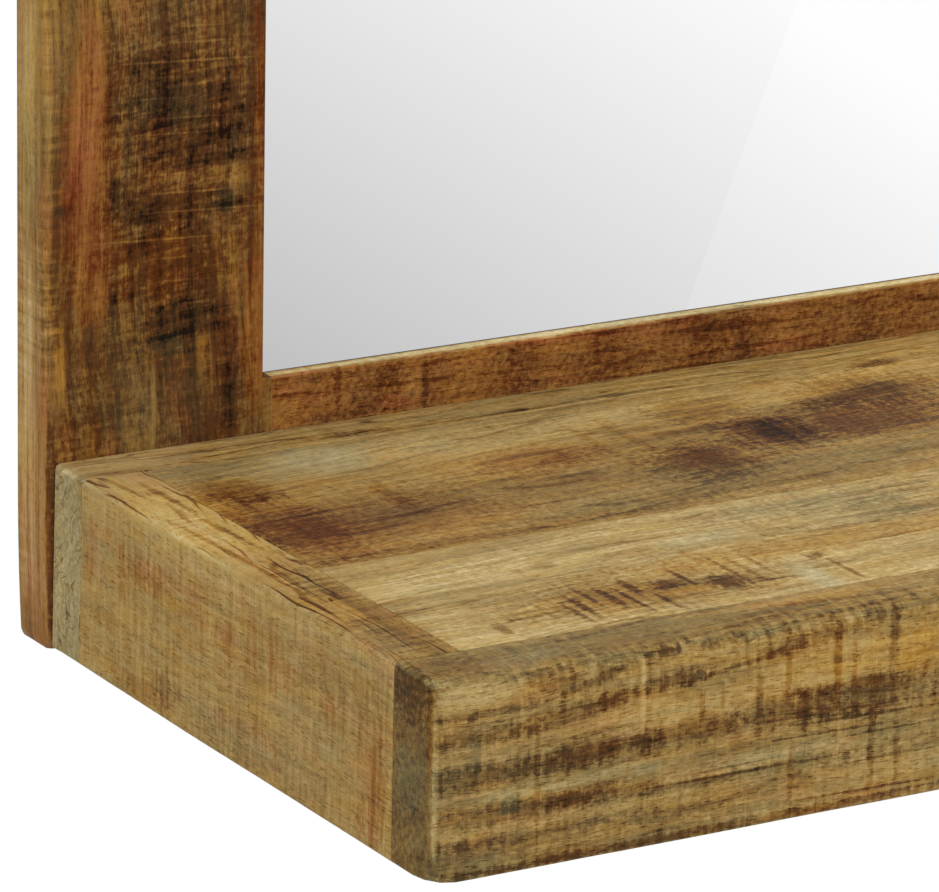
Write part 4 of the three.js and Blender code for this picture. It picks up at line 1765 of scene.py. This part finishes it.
def brown_stile() -> WoodFinish:
    """The left stile: brown heartwood with dark sawn places and an orange edge along the mirror.

    Returns:
        The finish.
    """
    front = FRAME_FRONT.patches(
        (-249, -600, 1.0, 60.0, 0.05, 0.1),
        (-245, -556, 5.0, 20.0, 0.06, -0.1),
        (-239, -562, 4.0, 24.0, 0.12, 0.2, 0.0, 0.3),
        (-241, -582, 5.0, 14.0, 0.05, 0.2, 0.0, 0.35),
        (-214, -550, 20.0, 9.0, -0.05, -0.1),
        (-213, -569, 17.0, 15.0, -0.14, -0.1),
        (-216, -567, 11.0, 6.0, -0.1, -0.3),
        (-207, -579, 13.0, 6.0, -0.1, -0.1),
        (-198, -557, 7.0, 11.0, 0.08, 0.1),
        (-201.5, -567, 1.0, 9.0, -0.14, -0.2, 10.0),
        (-198, -577, 0.9, 8.0, -0.16, -0.2, 12.0),
        (-191.5, -580, 2.2, 44.0, 0.08, 0.4, 0.0, 0.35),
        (-212, -577, 20.0, 44.0, -0.05, 0.0, 0.0, 0.06),
        (-238, -580, 8.0, 27.0, 0.03, 0.3, 0.0, 0.3),
        (-237, -607, 7.0, 14.0, 0.02, 0.2, 0.0, 0.3),
        (-222, -640, 18.0, 14.0, -0.03, -0.1),
        (-199, -587, 5.0, 4.0, 0.18, 0.2, 30.0),
        (-231, -588, 2.0, 5.0, -0.16, -0.5),
        (-245, -591, 2.5, 1.6, -0.14, -0.4),
        (-217, -593, 15.0, 5.5, -0.16, -0.1),
        (-201, -593, 4.0, 3.5, -0.14, -0.4),
        (-242, -606, 9.0, 18.0, 0.06, 0.25),
        (-216, -606, 16.0, 9.0, -0.08, 0.15),
        (-213, -622, 12.0, 4.5, -0.18, -0.3),
        (-216, -628, 8.0, 3.0, -0.08, -0.5),
        (-232, -616, 1.0, 5.0, -0.2, -0.4),
        (-235.5, -614, 2.8, 6.0, 0.1, 0.3),
        (-201, -608, 4.0, 13.0, 0.14, 0.1, -10.0),
        (-206, -634, 2.4, 14.0, 0.14, 0.2, -8.0),
        (-193, -628, 3.0, 20.0, 0.12, 0.6, 0.0, 0.3),
        (-221, -645, 14.0, 14.0, 0.04, -0.2),
        (-220.5, -644, 0.8, 13.0, 0.14, -0.1),
        (-199, -641, 4.5, 9.0, -0.1, -0.1),
        (-246, -630, 1.8, 9.0, 0.16, 0.3),
        (-240, -648, 7.0, 9.0, -0.08, 0.1),
        (-213, -620, 24.0, 44.0, -0.04, 0.05),
    )
    levels = (-549, -553, -557.5, -561, -566, -571.5, -575, -580, -585, -590, -595, -601, -606, -612, -618)
    scratches = FRAME_FRONT.patches(*(scratch(level) for level in levels))
    side = STILE_SIDE.patches(
        (-9, -570, 9.0, 70.0, 0.28, -0.02),
        (-9, -650, 10.0, 50.0, 0.22, -0.1, 0.0, 0.3),
        (-9, -692, 10.0, 22.0, 0.1, -0.1, 0.0, 0.35),
        (-1, -665, 1.2, 44.0, 0.05, -0.5, 0.0, -0.5),
        (-4, -665, 2.0, 24.0, 0.05, 0.4),
        (-12, -655, 1.6, 36.0, -0.1, 0.0),
        (-8, -556, 2.5, 14.0, 0.06, 0.1),
        # Painted shade along the front edge, where the shelf meets the stile.
        (-15.9, -674, 0.6, 34.0, -0.3, 0.0),
        (-6.5, -655, 0.35, 46.0, -0.12, 0.0),
        (-9.6, -640, 0.3, 34.0, -0.12, 0.0),
        (-12.4, -668, 0.4, 30.0, -0.14, 0.0),
        (-4.2, -610, 0.3, 40.0, -0.1, 0.0),
        (-11.0, -590, 0.35, 40.0, -0.1, 0.0),
    )
    figure = Figure(slabs=0.22, hairs=0.12, fibres=0.22, streaks=0.36, rings=0.2, crumbs=0.4, pores=0.08,
                    clouds=0.45, comb=1.1, stroke=(1.7, 26.0), lines=0.08, rust=0.4)
    return WoodFinish(name="brown_stile", grain=Axis.Z, tone=0.36, warmth=0.66, seed=1.3, figure=figure,
                      saw=(-0.07, 0.0, 1.0), deepest=-0.3, edge_wear_and_highlight=0.02, edge_wear_and_highlight_chill=0.0,
                      known=((0.0, 0.0, 1.0), -545.0), patches=front + scratches + side)


def rust_rail() -> WoodFinish:
    """The bottom rail: rust-coloured, with the slanting chatter of the planer.

    Returns:
        The finish.
    """
    # A painted highlight: the lip's top strip lightened to cream.
    lip = RAIL_LIP.patches((-60, -13.4, 190.0, 2.2, 0.5, -0.6, 0.0, -0.7))
    bars = FRAME_FRONT.patches(
        (-183, -648, 5.0, 12.0, 0.05, 0.1),
        (-169, -644, 1.2, 5.0, -0.12, 0.0),
        (-161, -650, 6.0, 6.0, -0.06, -0.2),
        (-154, -645, 4.0, 4.0, -0.08, 0.0),
        (-147, -648, 3.0, 9.0, 0.08, 0.0),
        (-144, -648, 1.0, 9.0, -0.14, -0.2),
        (-133, -648, 6.0, 10.0, 0.06, 0.1),
        (-118, -648, 3.0, 12.0, -0.06, 0.0),
        (-106, -648, 5.0, 12.0, 0.06, 0.05),
        (-92, -648, 4.0, 12.0, -0.06, 0.0),
        (-79, -648, 5.0, 12.0, 0.05, 0.0),
        (-62, -648, 4.0, 12.0, -0.05, 0.0),
        (-50, -648, 3.0, 12.0, -0.09, -0.1),
        (-38, -648, 4.0, 12.0, 0.06, 0.0),
        (-12, -648, 3.0, 12.0, -0.05, 0.0),
    )
    figure = Figure(slabs=0.16, hairs=0.24, fibres=0.25, crumbs=0.65, rings=0.1, clouds=0.15, wildness=0.15,
                    rust=0.5)
    return WoodFinish(name="rust_rail", grain=Axis.X, tone=0.41, warmth=0.85, redness=0.34, seed=5.1,
                      saw=(0.8, 0.0, -0.6), figure=figure, known=((1.0, 0.0, 0.0), 60.0), edge_wear_and_highlight=0.06,
                      patches=lip + bars)


def banded_front() -> WoodFinish:
    """The shelf's front board: golden tan, with wavy brown bands that the saw broke into strokes.

    Returns:
        The finish.
    """
    bands = SHELF_FRONT.patches(
        (-233, -662.4, 16.0, 0.9, -0.16),
        (-217, -657.0, 7.0, 4.0, -0.14, 0.1),
        (-204, -658.6, 10.0, 1.2, -0.18, 0.0, -14.0),
        (-188, -656.0, 6.0, 1.3, -0.22, 0.0, -6.0),
        (-168, -655.6, 14.0, 1.0, -0.14),
        (-236, -667.4, 15.0, 2.2, -0.17, 0.0),
        (-212, -666.0, 15.0, 2.2, -0.2, 0.1, -7.0),
        (-199, -664.2, 9.0, 1.8, -0.16, 0.0, -8.0),
        (-186, -662.4, 8.0, 1.9, -0.28, 0.0, -3.0),
        (-179, -662.6, 2.0, 1.3, -0.3, -0.2),
        (-164, -661.0, 14.0, 0.9, -0.16, 0.1, -8.0),
        (-145, -658.0, 18.0, 2.0, -0.14, 0.1, -6.0),
        (-234, -677.0, 18.0, 3.2, -0.17, 0.0),
        (-208, -676.0, 16.0, 3.2, -0.19, 0.1, -2.0),
        (-182, -675.4, 18.0, 3.0, -0.13, 0.0, -2.0),
        (-156, -674.5, 14.0, 4.0, -0.17),
        (-132, -674.0, 20.0, 4.6, -0.2),
        (-140, -670.6, 16.0, 1.2, -0.1, 0.1),
        (-228, -686.4, 22.0, 2.6, -0.16),
        (-205, -686.0, 14.0, 2.4, -0.13, 0.1),
        (-165, -688.0, 30.0, 1.6, -0.1, -0.1),
        (-226, -692.4, 26.0, 1.6, -0.12),
        (-188, -694.0, 18.0, 1.8, -0.1),
        (-240, -697.0, 14.0, 5.0, -0.14, -0.2),
        (-180, -699.8, 70.0, 1.2, -0.2, 0.1),
        (-216, -699.0, 6.0, 2.2, -0.12, 0.3),
    )
    lines = SHELF_FRONT.patches(
        (-138, -676.8, 26.0, 0.35, -0.2, 0.0, 1.0),
        (-133, -679.0, 22.0, 0.4, -0.24, 0.0, 1.5),
        (-140, -681.6, 20.0, 0.3, -0.2, 0.0, 1.0),
        (-126, -683.4, 12.0, 0.35, -0.2),
        (-164, -687.4, 26.0, 0.35, -0.24, 0.0, 0.5),
        (-172, -685.6, 14.0, 0.3, -0.16, 0.0, -1.0),
        (-128, -690.0, 15.0, 0.35, -0.18),
        (-132, -697.2, 18.0, 0.35, -0.24, 0.0, 1.0),
        (-124, -699.0, 12.0, 0.4, -0.2),
    )
    strokes = SHELF_FRONT.patches(
        (-238, -662.8, 1.3, 1.2, -0.26, -0.2),
        (-237, -672.0, 2.2, 6.0, -0.1, -0.3),
        (-228, -685.0, 2.4, 2.4, -0.1, -0.5),
        (-221, -684.0, 0.9, 18.0, -0.14, 0.2),
        (-212, -657.0, 1.0, 4.0, -0.14, 0.1),
        (-205, -657.0, 0.8, 3.0, -0.14, 0.1),
        (-193.7, -663.0, 0.8, 10.0, 0.12),
        (-178, -669.5, 0.8, 4.0, -0.14, 0.2),
        (-172.5, -669.0, 0.6, 3.5, -0.12, 0.1),
        (-162.3, -671.0, 1.0, 7.0, -0.14),
        (-154.8, -663.0, 0.9, 10.0, -0.14, 0.2),
        (-141.5, -669.0, 1.1, 14.0, -0.16, 0.3),
        (-137.0, -670.0, 0.7, 9.0, -0.1, 0.2),
        (-131.5, -686.0, 1.0, 14.0, -0.14, 0.2),
        (-126.3, -661.0, 1.5, 9.0, -0.24, 0.0),
        (-124.5, -689.0, 1.0, 7.0, -0.14),
        (-153.5, -690.0, 1.0, 8.0, -0.14, 0.2),
    )
    pale = SHELF_FRONT.patches(
        (-237, -657.5, 11.0, 3.0, 0.1, -0.1),
        (-178, -669.0, 42.0, 3.0, 0.08, 0.1),
        (-218, -681.8, 30.0, 1.8, 0.1, -0.25),
        (-136, -665.0, 26.0, 5.0, 0.06, 0.15),
        (-119, -666.0, 7.0, 7.0, 0.02, 0.35),
        (-150, -684.0, 40.0, 2.4, 0.05, -0.2),
        (-133, -694.0, 26.0, 3.0, 0.06, 0.0),
        # A painted highlight along the front-left vertical corner.
        (-247.6, -678.0, 1.1, 24.0, 0.16, 0.1),
    )
    top = SHELF_TOP.patches(
        (-190, -190, 75.0, 9.0, -0.06, -0.2),
        (-241, -188, 9.0, 8.0, -0.1, 0.1),
        (-220, -193, 10.0, 4.0, 0.05, -0.4, 10.0),
        (-196, -185, 12.0, 0.9, -0.12, 0.0, 8.0),
        (-160, -194, 26.0, 0.8, -0.12, 0.1, 6.0),
        (-135, -190, 22.0, 1.0, -0.14, 0.1, -6.0),
        (-132, -196, 18.0, 0.8, -0.14, 0.0, 5.0),
        (-145, -187, 22.0, 3.0, 0.06, 0.3),
        # Painted shade along the rounded upper front edge.
        (-150, -199.5, 130.0, 3.0, -0.07, -0.05),
    )
    end = SHELF_LEFT.patches(
        (-191, -676, 12.0, 40.0, -0.08, -0.1, 0.0, -0.3),
        (-190, -658, 10.0, 7.5, -0.14, 0.1),
        (-198, -668, 1.2, 12.0, -0.08, 0.4),
        (-190, -680, 8.0, 9.0, 0.02, -0.35),
    )
    figure = Figure(slabs=0.26, hairs=0.16, fibres=0.32, crumbs=0.45, rings=0.15, clouds=0.2, comb=1.3,
                    lines=0.1, rust=0.16)
    return WoodFinish(name="banded_front", grain=Axis.X, tone=0.56, warmth=0.44, seed=2.2, figure=figure,
                      deepest=-0.24, edge_wear_and_highlight=0.03, known=((1.0, 0.0, 0.0), -112.0),
                      patches=bands + lines + strokes + pale + top + end)


def tan_back() -> WoodFinish:
    """The shelf's back board: yellow tan, with dark lines along its top.

    Returns:
        The finish.
    """
    top = SHELF_TOP.patches(
        (-190, -24, 26.0, 0.7, -0.2, 0.0, -4.0),
        (-205, -27.5, 18.0, 0.6, -0.18, 0.0, 6.0),
        (-172, -27, 9.0, 1.4, -0.2),
        (-130, -29, 50.0, 0.7, -0.14),
        (-70, -25, 50.0, 1.0, -0.08),
        (-235, -22, 16.0, 7.0, 0.06, 0.1),
    )
    end = SHELF_LEFT.patches((-22, -677, 14.0, 40.0, 0.13, -0.45))
    figure = Figure(slabs=0.1, hairs=0.1, fibres=0.35, streaks=0.4, rings=0.18, clouds=0.12, wildness=0.2,
                    lines=0.26, rust=0.1)
    return WoodFinish(name="tan_back", grain=Axis.X, tone=0.59, warmth=0.5, seed=12.5, ring_pitch=2.2,
                      pith=(-60.0, -700.0), figure=figure, end_tone=0.0, known=SHELF_TOP_SEEN,
                      patches=top + end)


def golden_end() -> WoodFinish:
    """The shelf's left end: golden, sawn across, with reddish places and a grey front half on top.

    Returns:
        The finish.
    """
    side = SHELF_LEFT.patches(
        (-133, -672, 4.0, 5.0, -0.06, 0.1, 0.0, 0.2),
        (-126, -670, 2.2, 12.0, -0.05, 0.1, 0.0, 0.2),
        (-116, -670, 3.0, 8.0, -0.04, 0.1, 0.0, 0.2),
        (-105, -672, 6.0, 5.0, -0.07, 0.1, 0.0, 0.25),
        (-153, -674, 4.0, 6.0, -0.06, 0.1, 0.0, 0.15),
        (-172, -685, 9.0, 14.0, -0.06, 0.2, 0.0, 0.2),
        (-173, -688, 3.0, 12.0, -0.06, 0.1, 0.0, 0.15),
        (-66, -668, 9.0, 4.0, -0.07, 0.1, 0.0, 0.25),
        (-37, -670, 3.0, 8.0, -0.04, 0.1, 0.0, 0.25),
        (-90, -668, 5.0, 5.0, -0.03, 0.1, 0.0, 0.15),
        (-52, -672, 2.0, 12.0, -0.04, 0.1, 0.0, 0.2),
        (-74, -693, 7.0, 4.0, -0.1, -0.1),
        (-64, -697, 14.0, 3.0, -0.1, 0.2),
        (-118, -694, 30.0, 5.0, -0.05, -0.25),
        (-150, -684, 26.0, 8.0, 0.04, -0.1),
        (-105, -658, 90.0, 4.0, 0.05, -0.05),
    )
    top = SHELF_TOP.patches(
        (-240, -72, 12.0, 44.0, 0.12, 0.1),
        (-242, -40, 0.7, 14.0, -0.2, 0.1, 6.0),
        (-236, -54, 1.2, 12.0, -0.3, 0.1, 2.0),
        (-239.5, -66, 0.8, 9.0, -0.26, 0.1, -8.0),
        (-236, -82, 1.0, 14.0, -0.26, 0.1, 3.0),
        (-243, -96, 0.9, 26.0, -0.24, 0.1, 2.0),
        (-240, -118, 0.8, 14.0, -0.2, 0.1, -4.0),
        (-235, -158, 6.0, 46.0, -0.2, -0.1),
        (-244, -140, 4.0, 14.0, 0.02, 0.2),
        (-239, -146, 1.6, 14.0, 0.12, 0.3),
        (-243, -168, 4.0, 16.0, -0.06, -0.2),
    )
    figure = Figure(slabs=0.46, hairs=0.24, fibres=0.3, streaks=0.2, rings=0.12, clouds=0.14, wildness=0.0,
                    lines=0.42, rust=0.28, stroke=(1.8, 20.0))
    return WoodFinish(name="golden_end", grain=Axis.Y, tone=0.655, warmth=0.68, seed=6.6, ring_pitch=2.4,
                      figure=figure, edge_wear_and_highlight=0.1, lined_side=Axis.Z, patches=side + top)


def stained_plank() -> WoodFinish:
    """The rear plank: brown stains over greyish tan.

    Returns:
        The finish.
    """
    top = SHELF_TOP.patches(
        (-150, -43, 75.0, 15.0, 0.12, -0.15),
        # A painted sheen, pale and cool.
        (-189, -42, 13.0, 14.0, 0.06, -0.35),
        (-218, -38, 14.0, 7.0, -0.08, -0.25),
        (-220, -55, 10.0, 12.0, -0.2, 0.2),
        (-229, -66, 3.5, 12.0, 0.02, 0.6),
        (-221, -88, 13.0, 30.0, -0.15, 0.2, 0.0, 0.15),
        (-200, -94, 34.0, 20.0, -0.08, 0.1, 0.0, 0.15),
        (-187, -74, 4.5, 10.0, -0.1, 0.2),
        (-142, -66, 18.0, 10.0, -0.12, 0.15, 0.0, 0.2),
        (-135, -70, 7.0, 5.0, -0.1, 0.0),
        (-121.5, -66, 1.6, 24.0, -0.1, 0.1),
        (-112, -64, 1.6, 20.0, -0.08, 0.1),
        (-105, -86, 17.0, 14.0, -0.2, 0.15),
        (-103, -84, 6.0, 7.0, -0.1, 0.0),
        (-79, -74, 13.0, 14.0, -0.22, 0.15),
        (-78, -73, 5.0, 8.0, -0.12, -0.05),
        (-85, -48, 13.0, 10.0, -0.16, 0.1),
        (-52, -73, 28.0, 13.0, -0.18, 0.15, 0.0, 0.1),
        (-36, -54, 20.0, 13.0, -0.2, 0.15),
        (-34, -53, 8.0, 6.0, -0.12, -0.1),
        (-22, -35, 7.0, 2.4, -0.26, 0.0),
        (-90, -102, 70.0, 12.0, -0.07, -0.2),
        (-180, -113, 60.0, 2.0, -0.12, 0.0),
        (-110, -109, 40.0, 1.2, -0.1, 0.0, 5.0),
    )
    figure = Figure(slabs=0.16, hairs=0.14, fibres=0.4, crumbs=0.45, streaks=0.35, rings=0.18, comb=0.6,
                    lines=0.14, rust=0.12)
    return WoodFinish(name="stained_plank", grain=Axis.X, tone=0.575, warmth=0.56, seed=3.9, slant=0.07,
                      figure=figure, known=SHELF_TOP_SEEN, patches=top)


def pale_plank() -> WoodFinish:
    """The front plank: pale tan, with a row of dark sawn dashes.

    Returns:
        The finish.
    """
    dashes = SHELF_TOP.patches(
        (-215, -174, 1.8, 4.0, -0.26),
        (-204, -169, 9.0, 0.9, -0.24, 0.0, 5.0),
        (-194, -171, 1.3, 7.0, -0.3),
        (-190.5, -168, 1.3, 9.0, -0.34),
        (-186, -161, 0.9, 9.0, -0.26),
        (-181.5, -166, 1.2, 9.0, -0.3),
        (-177.5, -168, 0.8, 9.0, -0.28),
        (-173.5, -161, 1.4, 5.0, -0.3),
        (-171.0, -173, 0.9, 6.0, -0.28),
        (-165, -163, 4.5, 3.6, -0.32),
        (-159, -161, 1.0, 6.0, -0.28),
        (-151.5, -168, 4.5, 6.0, -0.36),
        (-146.5, -164, 0.8, 14.0, -0.22),
        (-142.5, -162, 0.8, 10.0, -0.22),
        (-138.0, -158, 0.8, 7.0, -0.2),
        (-141.0, -171, 5.0, 0.7, -0.22),
        (-122.5, -161, 2.8, 2.0, -0.36),
        (-121.5, -173, 0.9, 8.0, -0.28),
        (-184, -139, 4.0, 2.2, -0.2),
        (-191, -139, 1.6, 2.0, -0.16),
    )
    washes = SHELF_TOP.patches(
        (-172, -164, 34.0, 15.0, -0.12, 0.1),
        (-176, -166, 22.0, 7.0, -0.08, 0.1),
        (-118, -152, 50.0, 7.0, -0.05, 0.3),
        (-100, -127, 30.0, 8.0, -0.1, -0.3),
        (-88, -136, 10.0, 8.0, -0.08, -0.2),
        (-140, -137, 12.0, 4.0, 0.06, -0.3),
        (-131, -173, 4.0, 9.0, 0.08, -0.5),
        (-205, -132, 30.0, 16.0, 0.08, 0.0),
        (-222, -160, 8.0, 24.0, 0.05, 0.0),
    )
    figure = Figure(slabs=0.2, hairs=0.12, fibres=0.45, crumbs=0.45, streaks=0.45, rings=0.25, comb=0.6,
                    lines=0.16, rust=0.1)
    return WoodFinish(name="pale_plank", grain=Axis.X, tone=0.7, warmth=0.47, seed=8.8, slant=0.05,
                      figure=figure, deepest=-0.5, known=SHELF_TOP_SEEN, patches=dashes + washes)


def frame_finishes() -> dict[str, WoodFinish]:
    """The frame boards' finishes: the boards outside the photograph have the figure of their neighbours.

    Returns:
        Each board's finish, by its solid's name.
    """
    wild_stile = Figure(slabs=0.26, hairs=0.16, fibres=0.3, streaks=0.34, clouds=0.4, wildness=0.2, comb=1.1,
                        stroke=(1.7, 26.0), lines=0.08, rust=0.4)
    wild_rail = Figure(slabs=0.16, hairs=0.24, fibres=0.25, crumbs=0.6, rings=0.1, wildness=0.15, rust=0.5)
    return {
        "left_stile": brown_stile(),
        "right_stile": WoodFinish(name="brown_stile_right", grain=Axis.Z, tone=0.4, warmth=0.64, seed=9.4,
                                  saw=(0.06, 0.0, 1.0), figure=wild_stile, edge_wear_and_highlight=0.06),
        "bottom_rail": rust_rail(),
        "top_rail": WoodFinish(name="rust_rail_top", grain=Axis.X, tone=0.42, warmth=0.8, redness=0.3,
                               seed=14.2, saw=(0.8, 0.0, 0.5), figure=wild_rail, edge_wear_and_highlight=0.06),
    }


def shelf_finishes() -> dict[str, WoodFinish]:
    """The shelf boards' finishes.

    Returns:
        Each board's finish, by its solid's name.
    """
    raw = WoodFinish(name="raw_cleat", grain=Axis.Y, tone=0.74, warmth=0.45, seed=4.4, roughness=0.75,
                     figure=Figure(slabs=0.15, hairs=0.15, wildness=0.0))
    return {
        "shelf_front_board": banded_front(),
        "shelf_back_board": tan_back(),
        "shelf_left_end": golden_end(),
        "shelf_right_end": WoodFinish(name="golden_end_right", grain=Axis.Y, tone=0.56, warmth=0.52,
                                      seed=16.1, figure=Figure(slabs=0.3, wildness=0.2)),
        "shelf_rear_plank": stained_plank(),
        "shelf_front_plank": pale_plank(),
        "shelf_cleat_left": raw,
        "shelf_cleat_right": raw,
    }


def main() -> None:
    """Builds the studio and the mirror, piece by piece."""
    logging.basicConfig(level=logging.INFO, format="%(message)s")
    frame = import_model()
    nodes = frame["nodes"]
    Studio().build()
    Frame(frame_finishes(), [name for name in sorted(nodes) if name.startswith(SHELF_SCREW.prefix)]).build()
    Shelf(shelf_finishes(), [name for name in sorted(nodes) if name.startswith(CLEAT_SCREW.prefix)]).build()
    Mirror().build(nodes)
    Hardware(
        plated=SteelFinish("zinc_plate", (0.62, 0.62, 0.60)),
        yellow=SteelFinish("yellow_zinc", (0.66, 0.56, 0.33)),
        raw=WoodFinish(name="raw_dowel", grain=Axis.X, tone=0.76, warmth=0.45, seed=7.3, roughness=0.75,
                       figure=Figure(wildness=0.0)),
    ).build(nodes)


if __name__ == "__main__":
    main()
